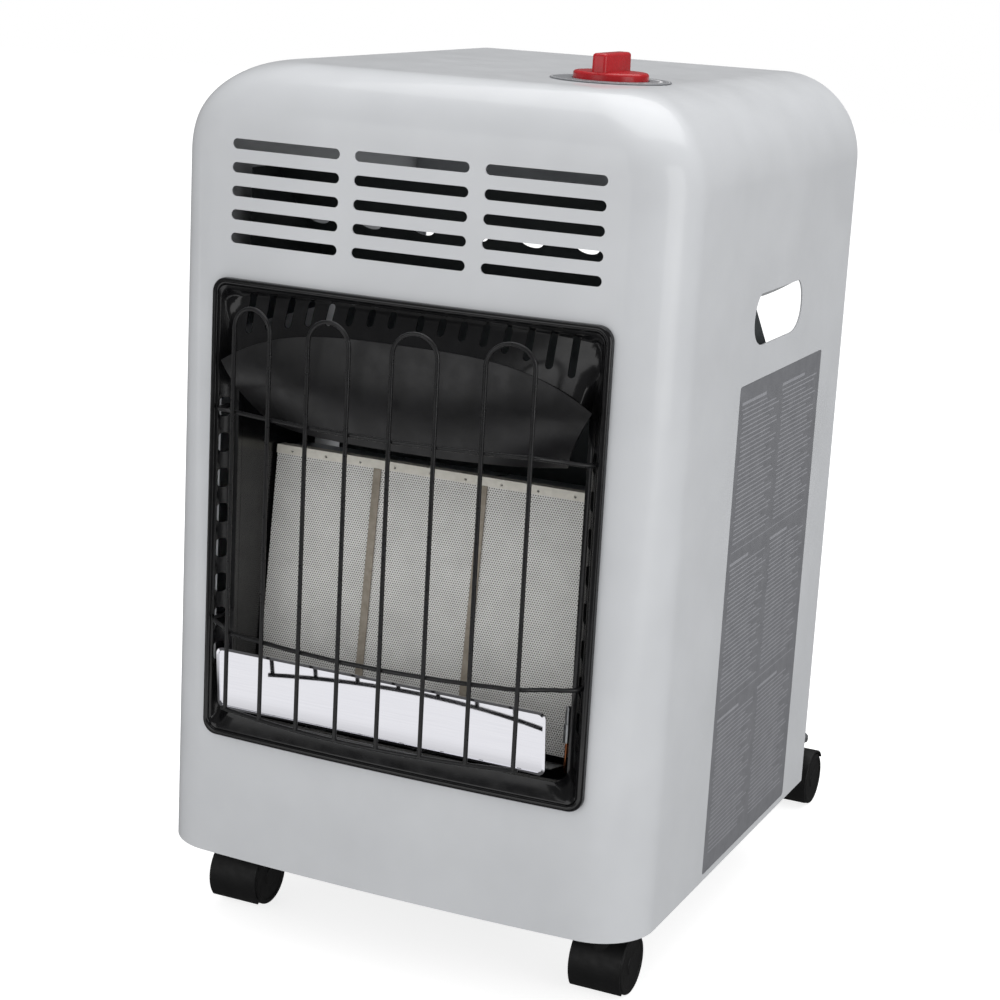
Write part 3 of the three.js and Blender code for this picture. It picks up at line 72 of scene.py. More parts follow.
# ---- driving sizes ----
SHELL_LOW, SHELL_HIGH = place("cabinet_shell")
BEZEL_LOW, BEZEL_HIGH = place("front_bezel")
GUARD_LOW = place("wire_guard")[0]
DIAL_LOW, DIAL_HIGH = place("dial_plate")
KNOB_LOW, KNOB_HIGH = place("control_knob")
DECAL_LOW, DECAL_HIGH = place("side_decal")
SHIELD_LOW, SHIELD_HIGH = place("heat_shield")
TRAY_LOW, TRAY_HIGH = place("base_tray")

HALF_WIDTH = SHELL_HIGH.x
FRONT_BOW = 8
CORNER_Y = SHELL_LOW.y + FRONT_BOW  # the plane of the cabinet's front corners
SHEET = 1.2
CORNER_RADIUS = 45
DIAL_RADIUS = (DIAL_HIGH.x - DIAL_LOW.x) / 2
DIAL_OVERLAP = 5  # the dial covers this much of the top round its hole
KNOB_RADIUS = (KNOB_HIGH.x - KNOB_LOW.x) / 2
KNOB_CENTRE = (DIAL_LOW + DIAL_HIGH) / 2
DECAL_RADIUS = 3
SIDE_CROWN = 72
FRONT_CROWN = 50
REAR_FLANGE = 14
REAR_OPENING_TOP = 600  # the back is closed above it

VENT_LENGTH = 95.5
VENT_HEIGHT = 8
VENT_PITCH = (108.3, 18.2)
VENT_ROWS = 5
VENT_TOP_ROW = 658
HANDHOLD_FRONT = 178.5
HANDHOLD_LENGTH = 122.5
HANDHOLD_TOP = 559.5
HANDHOLD_HEIGHT = 42.5
HANDHOLD_CORNER = 13

BEZEL_RADIUS = 12
RIM_HEIGHT = 6.2
RIM_WIDTH = 6.5
WINDOW_HALF = 150
WINDOW_BOTTOM = 198
WINDOW_SHOULDER = 486
WINDOW_RISE = 34
ARCH_POWER = 3.3  # 2 would be a parabola, and more is flatter in the middle
WINDOW_RADIUS = 5
BAND_DEPTHS = (-3, 9, -5)  # bottom, sides and top of the window, behind the cabinet front
BAND_TROUGH = 11  # hollow above the window's arch, where the slots are
TROUGH_SHARE = 0.15
WINDOW_LIP = 6
TOP_SLOTS = 8
TOP_SLOT_FIRST = 12
TOP_SLOT_PITCH = 17.9
TOP_SLOT_TOP = 543
TOP_SLOT_LENGTHS = (12, 31)
SIDE_SLOTS = 8
SIDE_SLOT_TOP = 450
SIDE_SLOT_PITCH = 29
SIDE_SLOT_LENGTH = 16
SLOT_WIDTH = 6
SIDE_SLOT_X = 159

HOOD_HALF = WINDOW_HALF + 8
HOOD_FOOT_HALF = WINDOW_HALF - 21  # its lower edge is shorter, and its ends curl back
HOOD_TIP = 489
HOOD_RISE = 32
HOOD_BOTTOM = 438
HOOD_BULGE = 6
HOOD_STANDOFF = 2.5
HOOD_FOOT_BACK = 28

WIRE_RADIUS = 1.75
LOOPS = 4
LOOP_WIDTH = 36
LOOP_PITCH = 72
GUARD_BOW = 24
GUARD_TOP = 540
GUARD_FOOT = 216
CROSSBARS = ((450, 457), (276, 279))  # height at its hooks, and across the wires

WHEEL_RADIUS = 25
WHEEL_WIDTH = 14
CASTOR_HALF = 22.5
CASTOR_TRAIL = 15
FENDER_GAP = 1.6
FENDER_THICKNESS = 2
CASTOR_X = 168

WHITE = (1, 1, 1, 1)
ROOM_LIGHT = 0.78  # the room's strength on dull surfaces, and in mirroring ones
ROOM_MIRRORED = 0.14
FLOOR_GREY = 0.5  # the paper's own colour, and the glow that lifts it for each ray
FLOOR_LIGHT = 0.2
FLOOR_SEEN = 0.8
FLOOR_MIRRORED = 0.1
FLOOR_REACH = 9000
PLATE_SHINE = ((-930, -600), 80)  # a pale card on the floor that the plate mirrors: its y, soft edge
LAMP_AIM = (0, -150, 380)

CAMERA_PLACE = (770, -1536.5, 833.4)  # from the middle of the cabinet's front corners, on the floor
CAMERA_TURN = (24.08, 14.11, 3.13)  # to the left, down and rolled, in degrees
CAMERA_LENS = 82.63
SENSOR_WIDTH = 36


def front_y(x):
    """Where the cabinet's bowed front lies at x."""
    return CORNER_Y - FRONT_BOW * (1 - (x / HALF_WIDTH) ** 2)


# ---- materials ----
def linear(hex_colour):
    """An sRGB hex colour, such as 0xC1C3C7, as a linear colour with alpha."""
    channels = [(hex_colour >> shift & 255) / 255 for shift in (16, 8, 0)]
    return (*[c / 12.92 if c <= 0.04045 else ((c + 0.055) / 1.055) ** 2.4 for c in channels], 1)


def add(tree, kind, inputs=None, output=0, **settings):
    """Adds one node and gives one of its outputs. `inputs` maps a name or number to a value or a socket."""
    node = tree.nodes.new("ShaderNode" + kind)
    for name, value in settings.items():
        setattr(node, name, value)
    for key, value in (inputs or {}).items():
        if isinstance(value, bpy.types.NodeSocket):
            tree.links.new(value, node.inputs[key])
        else:
            node.inputs[key].default_value = value
    return node.outputs[output] if node.outputs else None


def material(name, **shader_values):
    """A new material with a Principled shader. Returns it, its node tree and that shader."""
    made = bpy.data.materials.new(name)
    made.use_nodes = True
    tree = made.node_tree
    shader = tree.nodes["Principled BSDF"]
    for key, value in shader_values.items():
        shader.inputs[key.replace("_", " ")].default_value = value
    return made, tree, shader


def uneven(tree, size_mm, low=None, high=None, detail=3, stretch=None):
    """An irregular pattern with features about size_mm across, spread from low to high if they are given."""
    where = add(tree, "TexCoord", output="Object")
    if stretch:
        where = add(tree, "Mapping", {"Vector": where, "Scale": stretch})
    pattern = add(tree, "TexNoise", {"Vector": where, "Scale": 1 / (size_mm * M), "Detail": detail,
                                     "Roughness": 0.55})
    if low is None:
        return pattern
    return add(tree, "MapRange", {"Value": pattern, "From Min": 0.3, "From Max": 0.7, "To Min": low,
                                  "To Max": high})


def surface(name, colours, cloud_mm, roughness, sheen_mm, relief=None, stretch=None, details=(3, 3),
            clouds_to=(0, 1), **shader_values):
    """A material with clouds of two hex colours, patches of more and less shine, and a fine relief.

    `relief` is the size of its features in mm, their detail, their strength and their depth in mm.
    `details` is for the clouds and the shine. `clouds_to` is left empty where the clouds stay faint.
    """
    made, tree, shader = material(name, **shader_values)
    dark, light = [linear(colour) for colour in colours]
    clouds = uneven(tree, cloud_mm, *clouds_to, detail=details[0], stretch=stretch)
    tint = add(tree, "Mix", {"Factor": clouds, 6: dark, 7: light}, 2, data_type="RGBA")
    tree.links.new(tint, shader.inputs["Base Color"])
    sheen = uneven(tree, sheen_mm, *roughness, detail=details[1], stretch=stretch)
    tree.links.new(sheen, shader.inputs["Roughness"])
    if relief:
        size_mm, detail, strength, depth_mm = relief
        height = uneven(tree, size_mm, detail=detail)
        raised = add(tree, "Bump", {"Height": height, "Strength": strength, "Distance": depth_mm * M})
        tree.links.new(raised, shader.inputs["Normal"])
    return made


def honeycomb_ceramic():
    """Pressed cordierite burner plate: chalky off-white, with staggered rows of fine flame holes, painted as
    dark dots: painted shade in the holes.

    The real holes are about 1.3 mm apart. They are drawn 2.1 mm apart, so that they show.
    """
    made, tree, shader = material("cordierite_tile", IOR=1.45, Roughness=0.92)
    pitch = 2.1 * M
    row_pitch = pitch * 0.866
    hole_edge = (0.16, 0.36)                    # radius over which a hole's rim fades, in pitches
    where = add(tree, "TexCoord", output="Object")
    x, z = [add(tree, "SeparateXYZ", {0: where}, axis) for axis in "XZ"]
    rows = add(tree, "Math", {0: z, 1: 1 / row_pitch}, operation="MULTIPLY")
    row = add(tree, "Math", {0: rows}, operation="FLOOR")
    odd = add(tree, "Math", {0: row, 1: 1.0}, operation="PINGPONG")
    along = add(tree, "Math", {0: x, 1: 1 / pitch}, operation="MULTIPLY")
    shifted = add(tree, "Math", {0: odd, 1: 0.5, 2: along}, operation="MULTIPLY_ADD")
    inside = [add(tree, "Math", {0: value}, operation="FRACT") for value in (shifted, rows)]
    offset = [add(tree, "Math", {0: value, 1: 0.5}, operation="SUBTRACT") for value in inside]
    spot = add(tree, "CombineXYZ", {"X": offset[0], "Y": offset[1]})
    away = add(tree, "VectorMath", {0: spot}, "Value", operation="LENGTH")
    solid = add(tree, "MapRange", {"Value": away, "From Min": hole_edge[0], "From Max": hole_edge[1]},
                interpolation_type="SMOOTHSTEP")
    mottle = {"Factor": uneven(tree, 20, 0, 1), 6: linear(0xDCDBD8), 7: linear(0xE9E8E5)}
    face = add(tree, "Mix", mottle, 2, data_type="RGBA")
    # where `solid` is low the holes get a dark colour: painted shade for the depth of each hole
    colour = add(tree, "Mix", {"Factor": solid, 6: linear(0x55524D), 7: face}, 2, data_type="RGBA")
    tree.links.new(colour, shader.inputs["Base Color"])
    grit = add(tree, "Math", {0: uneven(tree, 0.7), 1: 0.15, 2: solid}, operation="MULTIPLY_ADD")
    raised = add(tree, "Bump", {"Height": grit, "Strength": 0.6, "Distance": 0.5 * M})
    tree.links.new(raised, shader.inputs["Normal"])
    return made


# Powder-coated steel: satin, with the slight orange peel of sprayed powder and an uneven sheen.
white_enamel = surface("stove_enamel_white", (0xC6C8CB, 0xCDCFD2), 90, (0.32, 0.4), 25, (3.5, 2, 0.12, 0.05),
                       IOR=1.5, Coat_Weight=0.35, Coat_Roughness=0.09)

# Vitreous black enamel on pressed steel: deep and wet-looking, with the ripple of the fired coat.
black_enamel = surface("vitreous_enamel_black", (0x0B0B0C, 0x121214), 40, (0.13, 0.24), 12,
                       (14, 2, 0.25, 0.12), IOR=1.52)

# The same enamel on the hood, gone satin and slightly purple in the heat.
hood_enamel = surface("heat_dulled_enamel", (0x08080A, 0x100F13), 40, (0.3, 0.42), 12, (14, 2, 0.25, 0.12),
                      IOR=1.52)

# Drawn wire with a thin black dip coat: semi-gloss, with the odd thicker place.
black_wire = surface("dip_coated_wire", (0x121213, 0x1B1B1D), 8, (0.24, 0.42), 5, (2.5, 2, 0.2, 0.1),
                     clouds_to=(), IOR=1.5)

# Bright-annealed stainless sheet: almost a mirror, with faint rolling lines, coarsened so that they show.
mirror_steel = surface("bright_annealed_steel", (0xDDDDE3, 0xE9E9EE), 1.2, (0.03, 0.07), 1.2,
                       stretch=(0.02, 1, 1), details=(2, 2), clouds_to=(), Metallic=1.0)

# Sheet steel inside the cabinet: a dark and dull copy of the zinc-plated steel below, with its faint grain;
# its dark grey is painted shade for the shadowed inside of the cabinet.
dark_sheet = surface("painted_shade_inner_steel", (0x4C5153, 0x535759), 30, (0.45, 0.58), 1.5, (1.5, 4, 0.08, 0.05),
                     details=(3, 4), Metallic=0.4)

# Zinc-plated steel: dull pale metal with a fine cloudy grain.
zinc_steel = surface("zinc_plated_steel", (0xA9ACAE, 0xC4C7CA), 30, (0.28, 0.48), 1.5, (1.5, 4, 0.08, 0.05),
                     details=(3, 4), Metallic=1.0)

tile_ceramic = honeycomb_ceramic()

# Unglazed steatite and the fibre seals between the tiles: matte, with a sandy tooth.
pale_ceramic = surface("steatite_ceramic", (0xD9D6CC, 0xE8E5DC), 6, (0.9, 0.9), 6, (0.8, 3, 0.3, 0.2),
                       IOR=1.45)
seal_fibre = surface("fibre_seal", (0x8A8276, 0xA0988C), 6, (0.9, 0.9), 6, (0.8, 3, 0.3, 0.2), IOR=1.45)

# Moulded phenolic: hard and glossy red. Moulded nylon: matt black with a fine eroded texture.
red_plastic = surface("phenolic_red", (0xA8131B, 0xB91B24), 18, (0.22, 0.32), 7, (1.2, 3, 0.05, 0.08),
                      IOR=1.49)
black_plastic = surface("nylon_black", (0x0B0B0C, 0x121213), 18, (0.46, 0.62), 7, (0.8, 3, 0.15, 0.08),
                        IOR=1.49)

# Anodised dial with screen-printed marks, and vinyl film with grey print: flat, satin and very even.
FLAT = {"cloud_mm": 18, "sheen_mm": 7, "IOR": 1.49}
INK = {"roughness": (0.45, 0.55), "relief": (0.8, 3, 0.15, 0.08), **FLAT}
dial_grey = surface("anodised_grey", (0x74767A, 0x7F8185), roughness=(0.4, 0.5),
                    relief=(0.6, 3, 0.04, 0.08), **FLAT)
decal_grey = surface("vinyl_film_grey", (0x717276, 0x797A7E), roughness=(0.42, 0.52),
                     relief=(0.9, 3, 0.03, 0.08), **FLAT)
pale_ink = surface("screen_ink_pale", (0xC9CACC, 0xD3D4D6), **INK)
grey_ink = surface("screen_ink_grey", (0x8D8E93, 0x96979C), **INK)

# Turned brass and drawn copper: warm metal, slightly dulled by handling.
brass = surface("turned_brass", (0xB08D4A, 0xD0AE68), 9, (0.22, 0.4), 4, Metallic=1.0)
copper = surface("drawn_copper", (0xA9653F, 0xC9835A), 9, (0.22, 0.4), 4, Metallic=1.0)


# ---- mesh helpers ----
def loft(rings, loop=True, wrap=False, capped=False):
    """Points and faces over rings of points. `wrap` joins the last ring to the first."""
    count = len(rings[0])
    faces = []
    for r in range(len(rings) if wrap else len(rings) - 1):
        low, high = r * count, (r + 1) % len(rings) * count
        for i in range(count if loop else count - 1):
            j = (i + 1) % count
            faces.append((low + i, low + j, high + j, high + i))
    if capped:
        faces += [tuple(range(count))[::-1], tuple(range((len(rings) - 1) * count, len(rings) * count))]
    return [point for ring in rings for point in ring], faces


def together(*forms):
    """Several forms as one."""
    points, faces = [], []
    for more_points, more_faces in forms:
        faces += [tuple(i + len(points) for i in face) for face in more_faces]
        points += more_points
    return points, faces


def moved(form, x=0, y=0, z=0):
    return [(p[0] + x, p[1] + y, p[2] + z) for p in form[0]], form[1]


def prism(outline, axis, low, high):
    """A prism along x, y or z. Its outline is drawn in (y, z), (x, z) or (x, y)."""
    at = "xyz".index(axis)
    return loft([[(*corner[:at], t, *corner[at:]) for corner in outline] for t in (low, high)], capped=True)


def circle(radius, steps):
    turns = [2 * pi * k / steps for k in range(steps)]
    return [(radius * cos(t), radius * sin(t)) for t in turns]


def turned(profile, steps=64, axis="z"):
    """A body of revolution from (radius, height) corners about the z axis, or about x."""
    return loft([[(a, b, height) if axis == "z" else (height, a, b) for a, b in circle(radius, steps)]
                 for radius, height in profile])


def arc(centre, radius, start, end, steps):
    """Points on an arc, with its angles in degrees."""
    turns = [radians(start + (end - start) * i / steps) for i in range(steps + 1)]
    return [(centre[0] + radius * cos(t), centre[1] + radius * sin(t)) for t in turns]


def rounded(left, bottom, width, height, radius, steps=8):
    """A rectangle with round corners, anticlockwise."""
    right, top = left + width, bottom + height
    outline = []
    for x, y, start in ((right - radius, bottom + radius, -90), (right - radius, top - radius, 0),
                        (left + radius, top - radius, 90), (left + radius, bottom + radius, 180)):
        outline += arc((x, y), radius, start, start + 90, steps)
    return outline


def slot_outline(x, z, width, height):
    return rounded(x - width / 2, z - height / 2, width, height, min(width, height) / 2 - 0.01)


def swept(line, radius, sides=16):
    """A round bar along a line of points, its section carried round the bends without a twist."""
    line = [Vector(p) for p in line]
    ahead = [(line[min(i + 1, len(line) - 1)] - line[max(i - 1, 0)]).normalized() for i in range(len(line))]
    across = ahead[0].orthogonal().normalized()
    rings = []
    for i, point in enumerate(line):
        if i:
            across = ahead[i - 1].rotation_difference(ahead[i]) @ across
        beside = ahead[i].cross(across)
        turns = [2 * pi * k / sides for k in range(sides)]
        rings.append([tuple(point + radius * (cos(t) * across + sin(t) * beside)) for t in turns])
    return loft(rings, capped=True)


def route(corners, bend, steps=10):
    """A line with straight runs and rounded bends."""
    corners = [Vector(c) for c in corners]
    line = [corners[0]]
    for before, corner, after in zip(corners, corners[1:], corners[2:]):
        start = corner + (before - corner).normalized() * bend
        end = corner + (after - corner).normalized() * bend
        for i in range(steps + 1):
            t = i / steps
            line.append(start * (1 - t) ** 2 + corner * 2 * t * (1 - t) + end * t ** 2)
    return line + [corners[-1]]


def soften(mesh, sharp):
    """Smooth shading, except across edges sharper than `sharp` degrees."""
    made = bmesh.new()
    made.from_mesh(mesh)
    for face in made.faces:
        face.smooth = True
    for edge in made.edges:
        edge.smooth = edge.calc_face_angle(0) < radians(sharp)
    made.to_mesh(mesh)
    made.free()


def new_object(name, data):
    """An object of its own in the scene."""
    obj = bpy.data.objects.new(name, data)
    bpy.context.scene.collection.objects.link(obj)
    return obj


def build(name, form, sharp=32):
    """An object from points in millimetres and faces."""
    points, faces = form
    made = bmesh.new()
    corners = [made.verts.new(Vector(p) * M) for p in points]
    for face in faces:
        made.faces.new([corners[i] for i in face])
    bmesh.ops.remove_doubles(made, verts=made.verts, dist=0.002 * M)
    bmesh.ops.recalc_face_normals(made, faces=made.faces)
    mesh = bpy.data.meshes.new(name)
    made.to_mesh(mesh)
    made.free()
    soften(mesh, sharp)
    return new_object(name, mesh)


def carve(obj, *cut_forms, sharp=32):
    """Cuts forms out of an object."""
    cutters = [build("cutter", form) for form in cut_forms]
    for cutter in cutters:
        cut = obj.modifiers.new("cut", "BOOLEAN")
        cut.object = cutter
        cut.solver = "EXACT"
    bpy.context.view_layer.update()
    baked = bpy.data.meshes.new_from_object(obj.evaluated_get(bpy.context.evaluated_depsgraph_get()))
    obj.modifiers.clear()
    obj.data = baked
    soften(baked, sharp)
    for cutter in cutters:
        bpy.data.objects.remove(cutter)
    return obj


def round_edges(obj, width, segments=2, limit=40):
    """Takes the sharpness off an object's edges, as pressing, moulding or painting does."""
    edges = obj.modifiers.new("edges", "BEVEL")
    edges.width = width * M
    edges.segments = segments
    edges.limit_method = "ANGLE"
    edges.angle_limit = radians(limit)
    edges.harden_normals = True
    return obj


def fit(obj, finish, slot, *nodes, body="cabinet"):
    """Gives an object its finish, its body and the CAD nodes it stands for. `slot` is not used."""
    obj.data.materials.clear()
    obj.data.materials.append(finish)
    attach(obj, body)
    if nodes:
        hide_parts(*nodes)
    return obj


# ---- cabinet shell ----
def plan_outline(side, front, radius, back):
    """The cabinet's plan drawn in by `side` and `front`, from the back left round the front."""
    half = HALF_WIDTH - side
    front_steps = 44
    left = [(-half, back)]
    for a, b in arc((0, 0), 1, 0, 90, 16):
        x = -half + radius * (1 - a)
        left.append((x, front_y(x) + front + radius * (1 - b)))
    xs = [(half - radius) * (2 * i / front_steps - 1) for i in range(1, front_steps)]
    return left + [(x, front_y(x) + front) for x in xs] + [(-x, y) for x, y in reversed(left)]


def loaf(inset, back, bottom):
    """The cabinet's crowned form, drawn in by `inset`."""
    top = SHELL_HIGH.z - inset
    crown_steps = 28

    def drawn_in(crown, z):
        rise = max(0, z - (top - crown))
        return inset + crown - sqrt(max(0, crown * crown - rise * rise))

    side_crown, front_crown = SIDE_CROWN - inset, FRONT_CROWN - inset
    levels = [bottom] + [top - side_crown + side_crown * sin(i / crown_steps * pi / 2)
                         for i in range(crown_steps + 1)]
    rings = []
    for z in levels:
        plan = plan_outline(drawn_in(side_crown, z), drawn_in(front_crown, z), CORNER_RADIUS - inset, back)
        rings.append([(x, y, z) for x, y in plan])
    return loft(rings, capped=True)


def bezier(a, b, c, d, steps):
    """Points along a curve from a to d that leaves towards b and comes in from c."""
    points = []
    for i in range(steps + 1):
        t = i / steps
        shares = ((1 - t) ** 3, 3 * (1 - t) ** 2 * t, 3 * (1 - t) * t ** 2, t ** 3)
        points.append(tuple(sum(share * p[k] for share, p in zip(shares, (a, b, c, d))) for k in (0, 1)))
    return points


def handhold_outline():
    """The hole in each side, in (y, z): flat on top, with round ends."""
    y0 = CORNER_Y + HANDHOLD_FRONT
    y1 = y0 + HANDHOLD_LENGTH
    top, low, corner = HANDHOLD_TOP, HANDHOLD_TOP - HANDHOLD_HEIGHT, HANDHOLD_CORNER
    waist = (top + low) / 2

    def end(y, inward):
        def at(share, z):
            return y + inward * corner * share, z

        upper = bezier(at(1, top), at(1 / 3, top - corner / 4), at(0, top - corner), at(0, waist), 10)
        lower = bezier(at(0, waist), at(0, low + corner / 2), at(1, low), at(2, low), 12)
        return upper + lower[1:]

    return end(y0, 1) + end(y1, -1)[::-1]


def handhold_flap(side):
    """The tongue of sheet folded in along the top of a hand-hold, with a bowed free edge."""
    y0 = CORNER_Y + HANDHOLD_FRONT + HANDHOLD_CORNER
    y1 = CORNER_Y + HANDHOLD_FRONT + HANDHOLD_LENGTH - HANDHOLD_CORNER
    drop, lean, steps, along_steps = 12.5, radians(52), 8, 28
    root_x, root_z = HALF_WIDTH - SHEET / 2, HANDHOLD_TOP + SHEET / 2
    rings = []
    for k in range(1, along_steps):
        share = k / along_steps
        reach = drop * (1 - abs(2 * share - 1) ** 2.6)
        y = y0 + (y1 - y0) * share
        face = [(root_x - reach * i / steps * sin(lean), root_z - reach * i / steps * cos(lean))
                for i in range(steps + 1)]
        back_x, back_z = SHEET * cos(lean) * 0.9, SHEET * sin(lean) * 0.4
        back = [(x - back_x, z + back_z) for x, z in reversed(face)]
        rings.append([(side * x, y, z) for x, z in face + back])
    return loft(rings, capped=True)


def grown(low, high, by, across):
    """The left, bottom, width and height of a box seen along y (across is "x") or x ("y"), grown by `by`."""
    left, right = getattr(low, across) - by, getattr(high, across) + by
    return left, low.z - by, right - left, high.z - low.z + 2 * by


def cabinet_shell():
    """Front, sides, top and upper back in one pressed sheet, with its vents, hand-holds and openings."""
    front, back = SHELL_LOW.y - SHEET, CORNER_Y + FRONT_CROWN
    cuts = []
    for row in range(VENT_ROWS):
        for column in (-1, 0, 1):
            x, z = column * VENT_PITCH[0], VENT_TOP_ROW - row * VENT_PITCH[1]
            cuts.append(prism(slot_outline(x, z, VENT_LENGTH, VENT_HEIGHT), "y", front, back))
    bezel_hole = grown(BEZEL_LOW, BEZEL_HIGH, -RIM_WIDTH - 0.5, "x")
    cuts.append(prism(rounded(*bezel_hole, BEZEL_RADIUS), "y", front, back))
    hole = DIAL_RADIUS - DIAL_OVERLAP
    plug = turned([(0, -4), (hole, -4), (hole, 4), (0, 4)], 64)
    cuts.append(moved(plug, KNOB_CENTRE.x, KNOB_CENTRE.y, SHELL_HIGH.z))
    opening_half, below = HALF_WIDTH - REAR_FLANGE, SHELL_LOW.z - 20
    cuts.append(prism(rounded(-opening_half, below, 2 * opening_half, REAR_OPENING_TOP - below, 8), "y",
                      SHELL_HIGH.y - 3 * SHEET, SHELL_HIGH.y + SHEET))
    edge = 0.3
    depth = DECAL_HIGH.x - DECAL_LOW.x + edge
    pocket = rounded(*grown(DECAL_LOW, DECAL_HIGH, edge, "y"), DECAL_RADIUS)
    cuts.append(prism(pocket, "x", HALF_WIDTH - depth, HALF_WIDTH + SHEET))
    for side in (-1, 1):
        reach = sorted((side * (HALF_WIDTH - 5), side * (HALF_WIDTH + SHEET)))
        cuts.append(prism(handhold_outline(), "x", *reach))
    shell = build("cabinet_shell_fine", loaf(0, SHELL_HIGH.y, SHELL_LOW.z))
    carve(shell, loaf(SHEET, SHELL_HIGH.y - SHEET, SHELL_LOW.z - SHEET), together(*cuts))
    return round_edges(shell, 0.4)


fit(cabinet_shell(), white_enamel, "white_enamel", "cabinet_shell")
fit(build("handhold_flaps", together(handhold_flap(-1), handhold_flap(1))), white_enamel, "white_enamel")


# ---- bezel ----
def arch_rise(share, rise):
    """Height of the window's arch, where share is 0 in its middle and 1 at its end."""
    return rise * (1 - abs(share) ** ARCH_POWER)


def frame_ring(left, right, bottom, top, radius, rise):
    """A rounded rectangle with an arched top, as [x, z, share of bottom, side and top]."""
    x0, x1, z0, z1 = left + radius, right - radius, bottom + radius, top - radius
    foot, side, head = (1, 0, 0), (0, 1, 0), (0, 0, 1)
    corner_steps = 10
    ring = []
    for x, z, start, one, other, run_x, run_z, steps in (
            (x0, z0, 180, side, foot, (x0, x1), (bottom, bottom), 32),
            (x1, z0, 270, foot, side, (right, right), (z0, z1), 24),
            (x1, z1, 0, side, head, (x1, x0), (top, top), 44),
            (x0, z1, 90, head, side, (left, left), (z1, z0), 24)):
        for i, (a, b) in enumerate(arc((x, z), radius, start, start + 90, corner_steps)):
            share = i / corner_steps
            ring.append((a, b, tuple(p + (q - p) * share for p, q in zip(one, other))))
        for i in range(1, steps):
            a, b = [low + (high - low) * i / steps for low, high in (run_x, run_z)]
            lift = arch_rise((2 * a - left - right) / (x1 - x0), rise) if other is head else 0
            ring.append((a, b + lift, other))
    return ring


def front_bezel():
    """A rolled rim, a slotted band that falls in towards the arched window, and a lip round that."""
    def outer(inset):
        left, right, bottom, top = BEZEL_LOW.x, BEZEL_HIGH.x, BEZEL_LOW.z, BEZEL_HIGH.z
        return frame_ring(left + inset, right - inset, bottom + inset, top - inset,
                          max(BEZEL_RADIUS - inset * 0.7, 4), 0)

    def window(outset):
        return frame_ring(-WINDOW_HALF - outset, WINDOW_HALF + outset, WINDOW_BOTTOM - outset,
                          WINDOW_SHOULDER + outset, WINDOW_RADIUS + outset, WINDOW_RISE)

    def raised(ring, height):
        return [(x, front_y(x) - height(part), z) for x, z, part in ring]

    def window_height(part):
        return -sum(depth * share for depth, share in zip(BAND_DEPTHS, part))

    band_start = RIM_HEIGHT - 2.2
    inner, edge = window(0), outer(RIM_WIDTH)

    def band(share, thickness):
        eased = 1 - (1 - share) ** 2
        ring = [(x + (inner[i][0] - x) * share, z + (inner[i][1] - z) * share, part)
                for i, (x, z, part) in enumerate(edge)]
        fall = share / TROUGH_SHARE if share < TROUGH_SHARE else (1 - share) / (1 - TROUGH_SHARE)
        fall = fall * fall * (3 - 2 * fall) if share < TROUGH_SHARE else fall
        return raised(ring, lambda part: band_start + (window_height(part) - band_start) * eased - thickness
                      - BAND_TROUGH * part[2] * fall)

    def rim(inset, height):
        return raised(outer(inset), lambda part: height)

    def lip(outset, depth):
        return raised(window(outset), lambda part: window_height(part) - depth)

    bead = RIM_WIDTH - 1.2
    rings = [rim(0, 0.3)]
    rings += [rim(bead / 2 - a, RIM_HEIGHT - bead / 2 + b) for a, b in arc((0, 0), bead / 2, 0, 180, 10)]
    rings += [rim(bead + 0.2, band_start + 0.3), rim(bead + 0.6, band_start)]
    shares = (0.02, 0.05, 0.08, 0.11, 0.15, 0.25, 0.4, 0.55, 0.7, 0.85, 0.95, 1)
    rings += [band(share, 0) for share in shares]
    rings += [lip(-0.15, 1), lip(0, 2), lip(0, WINDOW_LIP), lip(SHEET, WINDOW_LIP), lip(SHEET, SHEET)]
    rings += [band(share, SHEET) for share in reversed(shares[1:-1])]
    under = RIM_HEIGHT - 2.6
    rings += [band(0, SHEET), rim(bead - 1, under), rim(SHEET + 0.4, under), rim(SHEET, 0.3)]
    cuts = []
    low, high = BEZEL_LOW.y - SHEET, CORNER_Y + 30
    outermost = TOP_SLOT_FIRST + (TOP_SLOTS - 1) * TOP_SLOT_PITCH
    for side in (-1, 1):
        for i in range(TOP_SLOTS):
            x = side * (TOP_SLOT_FIRST + i * TOP_SLOT_PITCH)
            length = TOP_SLOT_LENGTHS[0] + (TOP_SLOT_LENGTHS[1] - TOP_SLOT_LENGTHS[0]) * (x / outermost) ** 2
            z = TOP_SLOT_TOP - length / 2
            cuts.append(prism(slot_outline(x, z, SLOT_WIDTH, length), "y", low, high))
        for i in range(SIDE_SLOTS):
            x, z = side * SIDE_SLOT_X, SIDE_SLOT_TOP - i * SIDE_SLOT_PITCH
            cuts.append(prism(slot_outline(x, z, SLOT_WIDTH, SIDE_SLOT_LENGTH), "y", low, high))
    bezel = build("front_bezel_fine", loft(rings, wrap=True), 50)
    carve(bezel, together(*cuts), sharp=50)
    return round_edges(bezel, 0.3, limit=55)


fit(front_bezel(), black_enamel, "black_enamel", "front_bezel")


